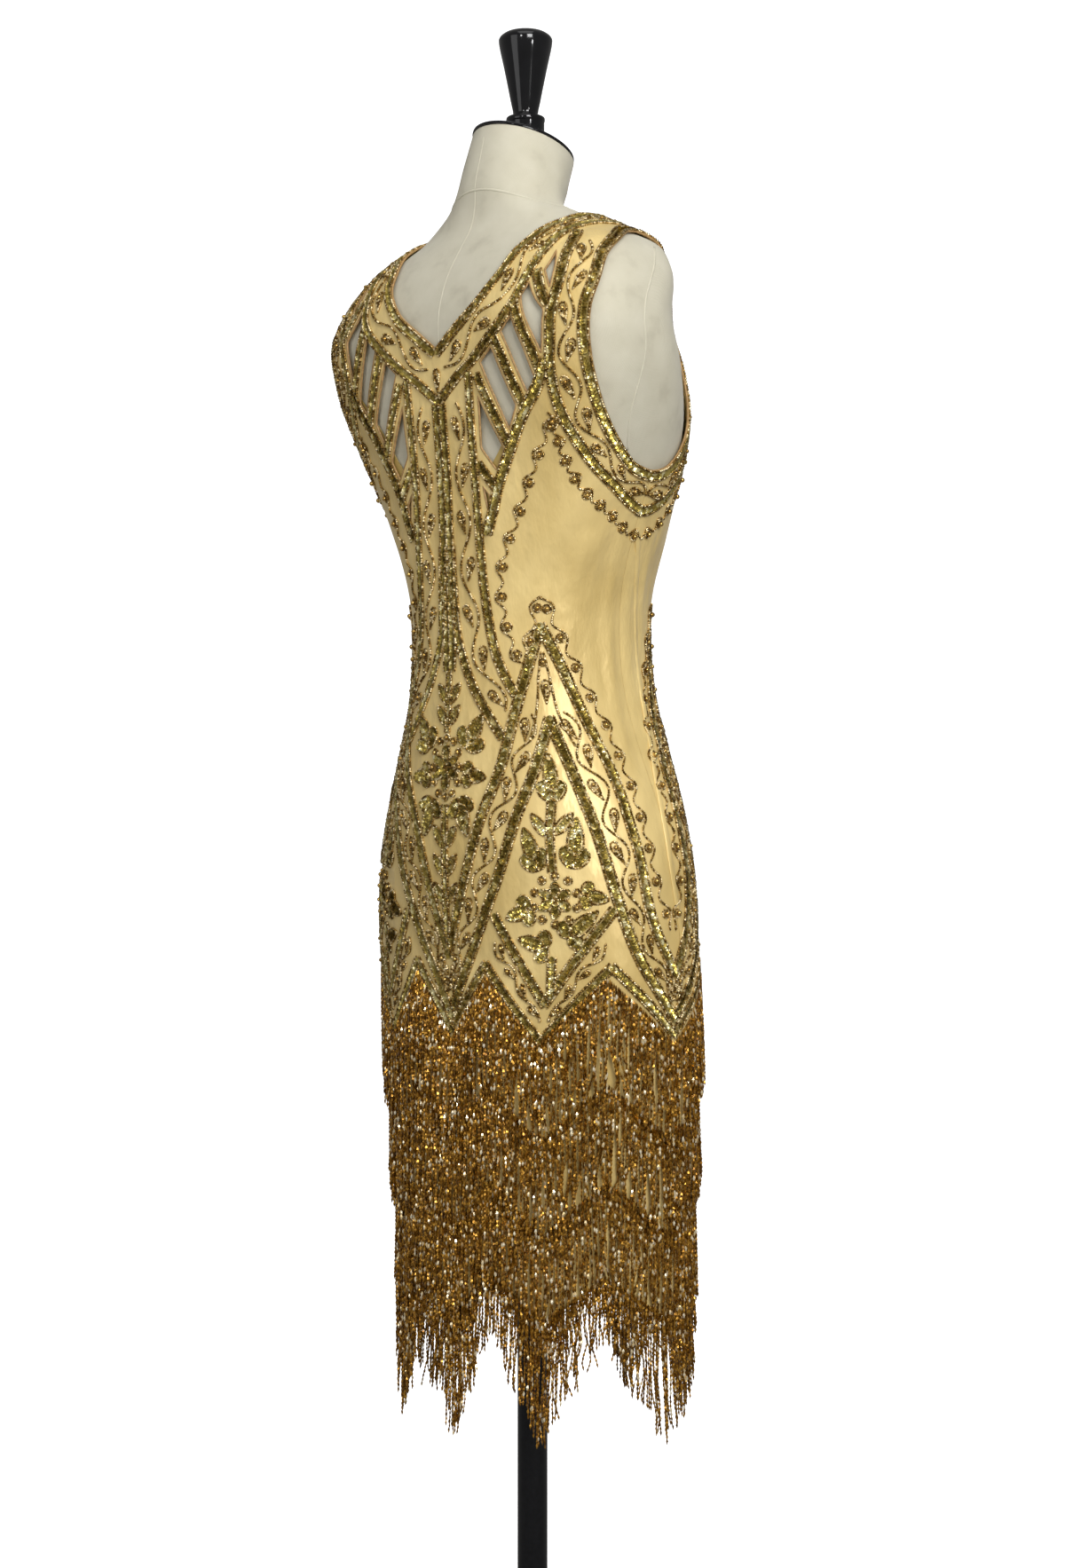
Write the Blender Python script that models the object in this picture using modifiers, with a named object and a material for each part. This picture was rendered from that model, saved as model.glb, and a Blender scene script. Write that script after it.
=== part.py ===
"""Sleeveless beaded gown of the 1920s kind on a limbless dress form with a pole stand.

Metres, +Z up. The origin is the middle of the stand's underside, the front of the gown
faces -Y and the wearer's right is -X. Every piece of the gown comes from one surface,
gown_point(around, level, out): around is in degrees from the centre back towards the
wearer's right, level is a height that tilts over the shoulders, and out is a distance
off the cloth's face. Cloth is a wall, and what lies on it is made from its points moved out.
"""
import bisect
import math
from collections import namedtuple

import bmesh
import bpy
from mathutils import Vector
from mathutils.geometry import delaunay_2d_cdt

# Driving sizes
CLOTH = 0.0015
FIT_GAP = 0.0003
SEAM_AROUND = 93.0
PATTERN_RADIUS = 0.145
SHOULDER_LEVEL = 1.328
SHOULDER_CROWDING = 1.8
LEAST_LEVEL = 0.36

BAND_WIDTH = 0.008
BAND_LIFT = 0.0009
BAND_HEIGHT = 0.0016
BRANCH_WIDTH = 0.006
CENTRE_WIDTH = 0.010
BAND_INWARD = 0.0052
POINT_INWARD = 1.4
DEGREE_WIDTH = 0.0028
SLIP_CLOTH = 0.0008
SLIP_DEPTH = 0.0009

# Steps along edges and bands
EDGE_STEP = 0.013
SEAM_STEP = 0.024
HEM_STEP = 0.020
NECK_STEP = 0.020
COLUMN_STEP = 0.020
BAND_STEP = 0.030

FORM_BOTTOM = 0.620
FORM_ROUNDING = 0.006
FORM_SIDES = 40
FORM_CROWDING = 14.0
NECK_TOP = 1.486

POLE_RADIUS = 0.014
BASE_RADIUS = 0.200
BASE_HEIGHT = 0.010
COLLAR_RADIUS = 0.026
COLLAR_HEIGHT = 0.034

CAP_THICKNESS = 0.003
CAP_OVERHANG = 0.0005
CAP_EDGE = 0.0009
FINIAL_Y = 0.009
FINIAL_TOP = 1.573
FINIAL_SIDES = 20

# Turning of the finial from its top down
Turn = namedtuple("Turn", "radius depth")
FINIAL_TURNING = [
    Turn(0.0, 0.0),
    Turn(0.0092, 0.0004),
    Turn(0.0176, 0.0023),
    Turn(0.0227, 0.0054),
    Turn(0.0249, 0.0085),
    Turn(0.0251, 0.0116),
    Turn(0.0240, 0.0187),
    Turn(0.0206, 0.0340),
    Turn(0.0141, 0.0660),
    Turn(0.0118, 0.0775),
    Turn(0.0135, 0.0796),
    Turn(0.0175, 0.0816),
    Turn(0.0182, 0.0842),
    Turn(0.0176, 0.0866),
    Turn(0.0176, 0.1200),
    Turn(0.0, 0.1200),
]

# Sections of the gown, one row a level
Level = namedtuple(
    "Level", "level z_back z_side z_front half_width y_side y_back y_front square_back square_front"
)
LEVELS = [
    Level(0.360, 0.360, 0.360, 0.360, 0.1500, -0.016, 0.093, -0.122, 2.10, 2.1),
    Level(0.460, 0.460, 0.460, 0.460, 0.1560, -0.016, 0.095, -0.121, 2.10, 2.1),
    Level(0.580, 0.580, 0.580, 0.580, 0.1640, -0.013, 0.099, -0.120, 2.15, 2.1),
    Level(0.640, 0.640, 0.640, 0.640, 0.1690, -0.011, 0.101, -0.120, 2.20, 2.1),
    Level(0.700, 0.700, 0.700, 0.700, 0.1730, -0.009, 0.104, -0.117, 2.20, 2.1),
    Level(0.750, 0.750, 0.750, 0.750, 0.1720, -0.007, 0.108, -0.114, 2.20, 2.1),
    Level(0.800, 0.800, 0.800, 0.800, 0.1660, -0.006, 0.110, -0.114, 2.20, 2.1),
    Level(0.850, 0.850, 0.850, 0.850, 0.1510, -0.004, 0.110, -0.116, 2.20, 2.1),
    Level(0.900, 0.900, 0.900, 0.900, 0.1310, -0.002, 0.108, -0.115, 2.20, 2.1),
    Level(0.950, 0.950, 0.950, 0.950, 0.1150, 0.000, 0.105, -0.109, 2.20, 2.1),
    Level(1.000, 1.000, 1.000, 1.000, 0.1100, 0.002, 0.104, -0.105, 2.20, 2.1),
    Level(1.050, 1.050, 1.050, 1.050, 0.1150, 0.004, 0.106, -0.107, 2.30, 2.1),
    Level(1.100, 1.100, 1.100, 1.100, 0.1320, 0.006, 0.108, -0.110, 2.50, 2.2),
    Level(1.150, 1.150, 1.150, 1.150, 0.1550, 0.009, 0.111, -0.110, 2.70, 2.2),
    Level(1.200, 1.200, 1.200, 1.195, 0.1780, 0.016, 0.116, -0.105, 3.00, 2.1),
    Level(1.250, 1.250, 1.248, 1.238, 0.1930, 0.027, 0.121, -0.088, 3.20, 2.0),
    Level(1.300, 1.300, 1.2923, 1.2794, 0.1924, 0.0344, 0.1225, -0.0668, 3.23, 2.10),
    Level(1.340, 1.337, 1.3367, 1.3161, 0.1768, 0.0163, 0.1093, -0.0480, 2.74, 2.80),
    Level(1.365, 1.362, 1.3590, 1.3397, 0.1556, 0.0087, 0.0935, -0.0428, 2.49, 2.75),
    Level(1.385, 1.382, 1.3761, 1.3561, 0.1186, 0.0118, 0.0812, -0.0370, 2.20, 2.37),
    Level(1.402, 1.400, 1.3951, 1.3701, 0.0774, 0.0199, 0.0769, -0.0304, 2.31, 1.96),
    Level(1.420, 1.420, 1.4053, 1.3869, 0.0587, 0.0232, 0.0763, -0.0237, 2.29, 1.67),
    Level(1.445, 1.445, 1.4334, 1.4123, 0.0537, 0.0178, 0.0702, -0.0293, 2.20, 1.81),
    Level(1.486, 1.478, 1.4612, 1.4449, 0.0480, 0.0130, 0.0616, -0.0391, 2.02, 2.03),
]
PLANE_TOP_FROM = 1.420

# How far the dress form stands inside the gown's face
Inset = namedtuple("Inset", "level depth")
FORM_INSETS = [
    Inset(0.60, 0.0070),
    Inset(0.80, 0.0050),
    Inset(1.00, 0.0075),
    Inset(1.13, 0.0050),
    Inset(1.28, 0.0044),
    Inset(1.32, 0.0044),
    Inset(1.345, 0.0036),
    Inset(1.400, 0.0030),
    Inset(1.49, 0.0025),
]
FORM_LEVELS = [
    0.66, 0.72, 0.78, 0.84, 0.90, 0.96, 1.02, 1.08, 1.14, 1.19, 1.23, 1.27, 1.30,
    1.322, 1.340, 1.355, 1.367, 1.378, 1.388, 1.397, 1.406, 1.416, 1.430, 1.455,
]

# Pattern lines of the right half: degrees from centre back, level
Mark = namedtuple("Mark", "around level")
ARM_MIDDLE = Mark(SEAM_AROUND, 1.262)
BACK_NECK_EDGE = [
    Mark(0.0, 1.264),
    Mark(12.0, 1.278),
    Mark(28.0, 1.2995),
    Mark(37.0, 1.324),
    Mark(43.5, 1.353),
    Mark(56.0, 1.3765),
    Mark(75.0, 1.3905),
    Mark(SEAM_AROUND, 1.3935),
]
FRONT_NECK_EDGE = [
    Mark(SEAM_AROUND, 1.3935),
    Mark(112.0, 1.391),
    Mark(128.0, 1.3705),
    Mark(141.0, 1.3355),
    Mark(158.0, 1.2995),
    Mark(170.0, 1.258),
    Mark(180.0, 1.225),
]
BACK_NECK_INNER_LINE = [
    Mark(0.0, 1.216),
    Mark(15.5, 1.236),
    Mark(28.0, 1.251),
    Mark(40.5, 1.2735),
    Mark(49.5, 1.300),
    Mark(52.5, 1.333),
    Mark(59.5, 1.3635),
    Mark(74.5, 1.3805),
    Mark(SEAM_AROUND, 1.3855),
]
FRONT_NECK_INNER_LINE = [
    Mark(SEAM_AROUND, 1.3855),
    Mark(111.5, 1.382),
    Mark(123.5, 1.3515),
    Mark(138.0, 1.3175),
    Mark(154.5, 1.271),
    Mark(168.0, 1.214),
    Mark(180.0, 1.172),
]
BACK_ARM_EDGE = [
    Mark(SEAM_AROUND, 1.3755),
    Mark(84.0, 1.3705),
    Mark(77.0, 1.357),
    Mark(72.5, 1.3375),
    Mark(71.5, 1.3125),
    Mark(70.0, 1.2875),
    Mark(68.5, 1.257),
    Mark(69.0, 1.225),
    Mark(71.5, 1.197),
    Mark(76.5, 1.174),
    Mark(84.0, 1.156),
    Mark(SEAM_AROUND, 1.150),
]
FRONT_ARM_EDGE = [
    Mark(SEAM_AROUND, 1.150),
    Mark(101.0, 1.156),
    Mark(108.0, 1.174),
    Mark(113.0, 1.202),
    Mark(116.0, 1.240),
    Mark(116.5, 1.2825),
    Mark(113.5, 1.322),
    Mark(107.0, 1.350),
    Mark(99.0, 1.3695),
    Mark(SEAM_AROUND, 1.3755),
]
BACK_ARM_LINE = [
    Mark(63.5, 1.3565),
    Mark(61.5, 1.3345),
    Mark(62.0, 1.307),
    Mark(60.0, 1.273),
    Mark(58.0, 1.238),
    Mark(58.5, 1.205),
    Mark(62.5, 1.177),
    Mark(69.5, 1.152),
    Mark(77.5, 1.136),
    Mark(85.0, 1.124),
    Mark(SEAM_AROUND, 1.116),
]
FRONT_ARM_LINE = [
    Mark(SEAM_AROUND, 1.116),
    Mark(101.0, 1.122),
    Mark(110.0, 1.140),
    Mark(118.0, 1.170),
    Mark(123.0, 1.206),
    Mark(125.0, 1.245),
    Mark(124.5, 1.288),
    Mark(119.0, 1.3235),
    Mark(113.5, 1.3495),
]
GAPS = [
    [Mark(56.5, 1.3260), Mark(58.5, 1.3450), Mark(60.0, 1.3095)],
    [Mark(51.5, 1.3055), Mark(53.0, 1.3170), Mark(59.0, 1.2905), Mark(56.0, 1.2480)],
    [Mark(43.5, 1.2730), Mark(48.5, 1.2875), Mark(53.0, 1.226), Mark(49.5, 1.215)],
    [Mark(31.0, 1.2470), Mark(38.0, 1.2600), Mark(45.0, 1.205), Mark(41.0, 1.184)],
    [Mark(27.5, 1.217), Mark(38.0, 1.168), Mark(33.5, 1.150), Mark(26.0, 1.171)],
    [Mark(25.5, 1.137), Mark(29.5, 1.127), Mark(28.5, 1.106)],
]
SLIP_EDGE = [
    Mark(55.0, 1.236),
    Mark(44.0, 1.200),
    Mark(35.0, 1.168),
    Mark(24.5, 1.140),
    Mark(23.5, 1.092),
    Mark(30.0, 1.094),
    Mark(40.0, 1.135),
    Mark(50.0, 1.180),
    Mark(56.5, 1.210),
]
COLUMN_LINE = [
    Mark(22.6, 1.215),
    Mark(21.5, 1.140),
    Mark(23.0, 1.064),
    Mark(24.5, 1.030),
    Mark(28.0, 0.992),
    Mark(33.5, 0.966),
]
CENTRE_LINE = [
    Mark(0.0, 1.196),
    Mark(0.0, 1.100),
    Mark(0.0, 0.990),
]
BRANCH_LINE = [
    Mark(4.6, 1.060),
    Mark(6.0, 1.006),
    Mark(11.0, 0.978),
    Mark(18.0, 0.952),
    Mark(28.0, 0.921),
]

# Zigzag bands, by the share of each 90 degrees from the V at 0 to the peak and on
OUTER_CHEVRON = [
    Mark(0.0, 0.714),
    Mark(10.5, 0.774),
    Mark(21.0, 0.836),
    Mark(31.0, 0.883),
    Mark(40.0, 0.948),
    Mark(50.5, 1.012),
    Mark(60.5, 0.972),
    Mark(70.0, 0.920),
    Mark(76.0, 0.878),
    Mark(79.0, 0.820),
    Mark(82.0, 0.752),
    Mark(90.0, 0.700),
]
INNER_CHEVRON = [
    Mark(0.0, 0.660),
    Mark(8.5, 0.694),
    Mark(17.5, 0.728),
    Mark(29.0, 0.782),
    Mark(38.0, 0.839),
    Mark(46.0, 0.882),
    Mark(53.0, 0.928),
    Mark(60.0, 0.884),
    Mark(66.0, 0.832),
    Mark(71.0, 0.772),
    Mark(78.0, 0.712),
    Mark(90.0, 0.660),
]
DIAMOND_V = [
    Mark(30.0, 0.744),
    Mark(47.5, 0.674),
    Mark(68.0, 0.748),
]
OUTER_SHARP = (0.0, 50.5, 90.0)
INNER_SHARP = (0.0, 53.0, 90.0)

# Fringe: each tier's zigzag of 45 degrees, its strands and their lengths
ZIGZAG_PERIOD = 45.0
Tier = namedtuple("Tier", "name low high strands width low_length high_length")
TIERS = [
    Tier("fringe_tier_1", 0.640, 0.700, 40, 0.0060, 0.100, 0.096),
    Tier("fringe_tier_2", 0.552, 0.606, 40, 0.0060, 0.098, 0.094),
    Tier("fringe_tier_3", 0.468, 0.518, 40, 0.0060, 0.104, 0.098),
    Tier("fringe_tier_4", 0.392, 0.432, 80, 0.0040, 0.112, 0.050),
]
STRIP_HEIGHT = 0.008
STRIP_LIFT = 0.0011
STRIP_THICKNESS = 0.0010
TIP_LIFT = 0.0055
STRAND_DEPTH = 0.0022
TIP_SHARE = 0.55
HEM_BELOW_ROOT = 0.006

# Points over a panel: levels from which a spacing holds, and the strip kept free at edges
Spacing = namedtuple("Spacing", "above across up edge")
SPACINGS = [
    Spacing(SHOULDER_LEVEL, 0.0112, 0.0130, 0.0055),
    Spacing(1.10, 0.0210, 0.0200, 0.0085),
    Spacing(0.86, 0.0290, 0.0300, 0.0130),
    Spacing(0.0, 0.0290, 0.0500, 0.0130),
]
HOLE_EDGE = 0.0085
SHEET_MARGIN = 0.008


def smooth_column(rows, at, name):
    """Value of one column at a level, by a smooth curve through the rows."""
    keys = [row[0] for row in rows]
    values = [getattr(row, name) for row in rows]
    index = min(max(bisect.bisect_right(keys, at) - 1, 0), len(keys) - 2)
    span = keys[index + 1] - keys[index]
    t = (at - keys[index]) / span

    def slope(k):
        if k == 0:
            return (values[1] - values[0]) / (keys[1] - keys[0])
        if k == len(keys) - 1:
            return (values[-1] - values[-2]) / (keys[-1] - keys[-2])
        before = (values[k] - values[k - 1]) / (keys[k] - keys[k - 1])
        after = (values[k + 1] - values[k]) / (keys[k + 1] - keys[k])
        left = keys[k] - keys[k - 1]
        right = keys[k + 1] - keys[k]
        return (before * right + after * left) / (left + right)

    h00 = 2 * t ** 3 - 3 * t ** 2 + 1
    h10 = t ** 3 - 2 * t ** 2 + t
    h01 = -2 * t ** 3 + 3 * t ** 2
    h11 = t ** 3 - t ** 2
    level = h00 * values[index] + h01 * values[index + 1]
    return level + span * (h10 * slope(index) + h11 * slope(index + 1))


SECTION_CACHE = {}


def section(level):
    """All columns of the gown's section at a level."""
    key = round(level, 6)
    if key not in SECTION_CACHE:
        columns = [smooth_column(LEVELS, level, name) for name in Level._fields[1:]]
        SECTION_CACHE[key] = Level(level, *columns)
    return SECTION_CACHE[key]


def face_point(around, level):
    """Point of the cloth's outer face."""
    row = section(level)
    phi = math.radians(around)
    c = math.cos(phi)
    s = math.sin(phi)
    at_back = c >= 0.0
    depth = row.y_back - row.y_side if at_back else row.y_side - row.y_front
    power = row.square_back if at_back else row.square_front
    reach = ((abs(s) / row.half_width) ** power + (abs(c) / depth) ** power) ** (-1.0 / power)
    lean = row.z_back - row.z_side if at_back else row.z_front - row.z_side
    flat = min(max((level - PLANE_TOP_FROM) / (NECK_TOP - PLANE_TOP_FROM), 0.0), 1.0)
    return Vector((-reach * s, row.y_side + reach * c, row.z_side + lean * abs(c) ** (2.0 - flat)))


def face_normal(around, level):
    """Outward direction of the cloth at a point."""
    turn = face_point(around + 0.4, level) - face_point(around - 0.4, level)
    rise = face_point(around, level + 0.0015) - face_point(around, level - 0.0015)
    return turn.cross(rise).normalized()


def rise(around, level):
    """Metres on the cloth for each metre of level."""
    return (face_point(around, level + 0.001) - face_point(around, level - 0.001)).length / 0.002


def gown_point(around, level, out=0.0):
    """Point at a distance off the cloth's outer face."""
    point = face_point(around, level)
    if out:
        point = point + face_normal(around, level) * out
    return point


def curve_through(marks, step):
    """Evenly spaced marks on a smooth curve through the given ones."""
    if len(marks) == 2:
        return straight_through(marks, step)
    dense = []
    for index in range(len(marks) - 1):
        before = marks[max(index - 1, 0)]
        start = marks[index]
        end = marks[index + 1]
        after = marks[min(index + 2, len(marks) - 1)]
        for part in range(12):
            t = part / 12
            weights = (
                -0.5 * t ** 3 + t ** 2 - 0.5 * t,
                1.5 * t ** 3 - 2.5 * t ** 2 + 1,
                -1.5 * t ** 3 + 2 * t ** 2 + 0.5 * t,
                0.5 * t ** 3 - 0.5 * t ** 2,
            )
            around = sum(w * m.around for w, m in zip(weights, (before, start, end, after)))
            level = sum(w * m.level for w, m in zip(weights, (before, start, end, after)))
            dense.append(Mark(around, level))
    dense.append(marks[-1])
    return spaced(dense, step)


def straight_through(marks, step):
    """Evenly spaced marks on straight pattern lines between the given ones."""
    result = []
    for start, end in zip(marks[:-1], marks[1:]):
        turn = end.around - start.around
        height = end.level - start.level
        dense = [Mark(start.around + turn * k / 12, start.level + height * k / 12) for k in range(13)]
        result += spaced(dense, step)[:-1]
    return result + [marks[-1]]


def spaced(dense, step):
    """Resample marks at about one step apart on the cloth, ends kept."""
    places = [face_point(m.around, m.level) for m in dense]
    lengths = [0.0]
    for mark, a, b in zip(dense, places[:-1], places[1:]):
        weight = SHOULDER_CROWDING if mark.level > SHOULDER_LEVEL else 1.0
        lengths.append(lengths[-1] + (b - a).length * weight)
    count = max(1, round(lengths[-1] / step))
    result = []
    for k in range(count + 1):
        target = lengths[-1] * k / count
        index = min(max(bisect.bisect_right(lengths, target) - 1, 0), len(dense) - 2)
        part = (target - lengths[index]) / max(lengths[index + 1] - lengths[index], 1e-9)
        a = dense[index]
        b = dense[index + 1]
        result.append(Mark(a.around + (b.around - a.around) * part, a.level + (b.level - a.level) * part))
    return result


def zigzag(tier, around):
    """Height of a tier's root line."""
    phase = (around % ZIGZAG_PERIOD) / ZIGZAG_PERIOD
    return tier.low + (tier.high - tier.low) * (1.0 - abs(2.0 * phase - 1.0))


def mirrored(marks, middle=0.0):
    """The same marks on the wearer's left."""
    return [Mark(2 * middle - m.around, m.level) for m in marks]


def sided(marks, side):
    """The marks on the wearer's right or left."""
    return marks if side == "right" else mirrored(marks)


def collection(name):
    """A new collection in the scene."""
    group = bpy.data.collections.new(name)
    bpy.context.scene.collection.children.link(group)
    return group


def put_into(group, thing):
    """Move an object that an operator made into a collection."""
    for old in list(thing.users_collection):
        old.objects.unlink(thing)
    group.objects.link(thing)


def make_material(name, colour, roughness, metallic=0.0, sheen=0.0):
    """A plain finish of its own for one part."""
    material = bpy.data.materials.new(name)
    material.use_nodes = True
    shader = material.node_tree.nodes["Principled BSDF"]
    shader.inputs["Base Color"].default_value = (*colour, 1.0)
    shader.inputs["Roughness"].default_value = roughness
    shader.inputs["Metallic"].default_value = metallic
    shader.inputs["Sheen Weight"].default_value = sheen
    return material


def add_mesh(name, points, faces, material, group, smooth=True):
    """A mesh object from points and faces."""
    mesh = bpy.data.meshes.new(name)
    mesh.from_pydata([tuple(p) for p in points], [], faces)
    mesh.update()
    thing = bpy.data.objects.new(name, mesh)
    thing.data.materials.append(material)
    group.objects.link(thing)
    if smooth:
        mesh.shade_smooth()
        mesh.set_sharp_from_angle(angle=math.radians(40))
    return thing


def turned(name, profile, sides, material, group, place=(0.0, 0.0, 0.0)):
    """A turned piece from (radius, height) pairs, top to bottom."""
    mesh = bpy.data.meshes.new(name)
    mesh.from_pydata([(r, 0.0, z) for r, z in profile], [(k, k + 1) for k in range(len(profile) - 1)], [])
    thing = bpy.data.objects.new(name, mesh)
    thing.data.materials.append(material)
    thing.location = place
    group.objects.link(thing)
    screw = thing.modifiers.new("turn", "SCREW")
    screw.axis = "Z"
    screw.steps = sides
    screw.render_steps = sides
    screw.use_merge_vertices = True
    screw.merge_threshold = 0.0001
    screw.use_smooth_shade = True
    return thing


def form_ring(level, extra=0.0):
    """One ring of the dress form."""
    inset = smooth_column(FORM_INSETS, level, "depth") + extra
    ring = []
    for k in range(FORM_SIDES):
        even = 360.0 * k / FORM_SIDES
        around = even + FORM_CROWDING * math.sin(math.radians(2.0 * even))
        ring.append(gown_point(around, level, -inset))
    return ring


def dress_form(material, group):
    """Limbless torso and neck, closed at both ends."""
    low = form_ring(FORM_BOTTOM + FORM_ROUNDING)
    rings = [form_ring(FORM_BOTTOM, FORM_ROUNDING), low]
    rings += [form_ring(level) for level in FORM_LEVELS]
    middle, up = cap_frame()
    top = form_ring(NECK_TOP)
    for p in top:
        p.z = middle.z - (up.x * (p.x - middle.x) + up.y * (p.y - middle.y)) / up.z
    rings.append(top)
    points = [p for ring in rings for p in ring]
    faces = []
    for k in range(len(rings) - 1):
        for j in range(FORM_SIDES):
            a = k * FORM_SIDES + j
            b = k * FORM_SIDES + (j + 1) % FORM_SIDES
            faces.append((a, b, b + FORM_SIDES, a + FORM_SIDES))
    last = (len(rings) - 1) * FORM_SIDES
    faces.append(tuple(reversed(range(FORM_SIDES))))
    faces.append(tuple(range(last, last + FORM_SIDES)))
    return add_mesh("dress_form", points, faces, material, group)


def cap_frame():
    """Middle and upward direction of the neck's slanted top."""
    ring = form_ring(NECK_TOP)
    middle = sum(ring, Vector()) / len(ring)
    back = gown_point(0.0, NECK_TOP)
    front = gown_point(180.0, NECK_TOP)
    slope = (back - front).normalized()
    up = Vector((1.0, 0.0, 0.0)).cross(slope).normalized()
    return middle, up


def neck_cap(material, group):
    """Thin slanted lid of the neck."""
    middle, up = cap_frame()
    reach = CAP_OVERHANG - FORM_INSETS[-1].depth
    half_width = section(NECK_TOP).half_width + reach
    half_depth = 0.5 * (gown_point(0.0, NECK_TOP) - gown_point(180.0, NECK_TOP)).length + reach
    bpy.ops.mesh.primitive_cylinder_add(vertices=32, radius=1.0, depth=1.0)
    cap = bpy.context.object
    cap.name = "neck_cap"
    cap.scale = (half_width, half_depth, CAP_THICKNESS)
    bpy.ops.object.transform_apply(location=False, rotation=False, scale=True)
    cap.rotation_euler = Vector((0.0, 0.0, 1.0)).rotation_difference(up).to_euler()
    cap.location = middle + up * (FIT_GAP + 0.5 * CAP_THICKNESS)
    cap.data.materials.append(material)
    cap.data.shade_smooth()
    cap.data.set_sharp_from_angle(angle=math.radians(40))
    put_into(group, cap)
    round_edge(cap, CAP_EDGE)
    return cap


def round_edge(thing, width):
    """A small bevel on sharp edges."""
    bevel = thing.modifiers.new("edge", "BEVEL")
    bevel.width = width
    bevel.segments = 1
    bevel.limit_method = "ANGLE"
    bevel.angle_limit = math.radians(50)


def finial(material, group, cutters):
    """Turned black finial whose foot is cut to the slant of the cap."""
    profile = [(mark.radius, FINIAL_TOP - mark.depth) for mark in FINIAL_TURNING]
    knob = turned("finial", profile, FINIAL_SIDES, material, group, (0.0, FINIAL_Y, 0.0))
    middle, up = cap_frame()
    block = 0.08
    bpy.ops.mesh.primitive_cube_add(size=block)
    cutter = bpy.context.object
    cutter.name = "cap_plane"
    cutter.rotation_euler = Vector((0.0, 0.0, 1.0)).rotation_difference(up).to_euler()
    cutter.location = middle + up * (2 * FIT_GAP + CAP_THICKNESS - 0.5 * block)
    cutter.hide_render = True
    cutter.display_type = "WIRE"
    put_into(cutters, cutter)
    cut = knob.modifiers.new("seat", "BOOLEAN")
    cut.operation = "DIFFERENCE"
    cut.solver = "EXACT"
    cut.object = cutter
    return knob


def stand(metal, group):
    """Round base, collar and pole under the form."""
    edge = 0.003
    base = [
        (0.0, BASE_HEIGHT),
        (BASE_RADIUS - 2 * edge, BASE_HEIGHT),
        (BASE_RADIUS - 0.6 * edge, BASE_HEIGHT - 0.6 * edge),
        (BASE_RADIUS, BASE_HEIGHT - 2 * edge),
        (BASE_RADIUS, 0.0),
        (0.0, 0.0),
    ]
    turned("stand_base", base, 48, metal, group)
    bore = POLE_RADIUS + FIT_GAP
    foot = BASE_HEIGHT + FIT_GAP
    collar = [
        (bore, foot + COLLAR_HEIGHT),
        (COLLAR_RADIUS - 0.006, foot + COLLAR_HEIGHT),
        (COLLAR_RADIUS - 0.003, foot + COLLAR_HEIGHT - 0.003),
        (COLLAR_RADIUS, foot + 0.006),
        (COLLAR_RADIUS + 0.004, foot),
        (bore, foot),
        (bore, foot + COLLAR_HEIGHT),
    ]
    turned("stand_collar", collar, 24, metal, group)
    low = foot
    high = FORM_BOTTOM - FIT_GAP
    bpy.ops.mesh.primitive_cylinder_add(
        vertices=24, radius=POLE_RADIUS, depth=high - low, location=(0.0, 0.0, 0.5 * (low + high))
    )
    pole = bpy.context.object
    pole.name = "stand_pole"
    pole.data.materials.append(metal)
    pole.data.shade_smooth()
    pole.data.set_sharp_from_angle(angle=math.radians(40))
    put_into(group, pole)


def to_plan(mark):
    """Pattern mark as a point of the flat plan, metres."""
    return Vector((math.radians(mark.around) * PATTERN_RADIUS, mark.level))


def inside(point, loop):
    """Whether a plan point lies in a closed loop."""
    hit = False
    for a, b in zip(loop, loop[1:] + loop[:1]):
        if (a.y > point.y) != (b.y > point.y):
            if point.x < (b.x - a.x) * (point.y - a.y) / (b.y - a.y) + a.x:
                hit = not hit
    return hit


def near_line(point, loop, reach):
    """Whether a plan point lies within reach of a closed loop."""
    for a, b in zip(loop, loop[1:] + loop[:1]):
        side = b - a
        t = min(max((point - a).dot(side) / max(side.length_squared, 1e-12), 0.0), 1.0)
        if (point - a - side * t).length < reach:
            return True
    return False


def spacing_at(level):
    """Spacing of a panel's points at a level."""
    return next(row for row in SPACINGS if level > row.above)


def plan_grid(low_x, high_x, low_y, high_y):
    """Staggered points over a pattern piece, closer together over the shoulders."""
    result = []
    y = low_y
    row = 0
    while y < high_y:
        spacing = spacing_at(y)
        x = low_x + (0.5 * spacing.across if row % 2 else 0.0)
        while x < high_x:
            result.append(Vector((x, y)))
            x += spacing.across
        y += spacing.up
        row += 1
    return result


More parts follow.
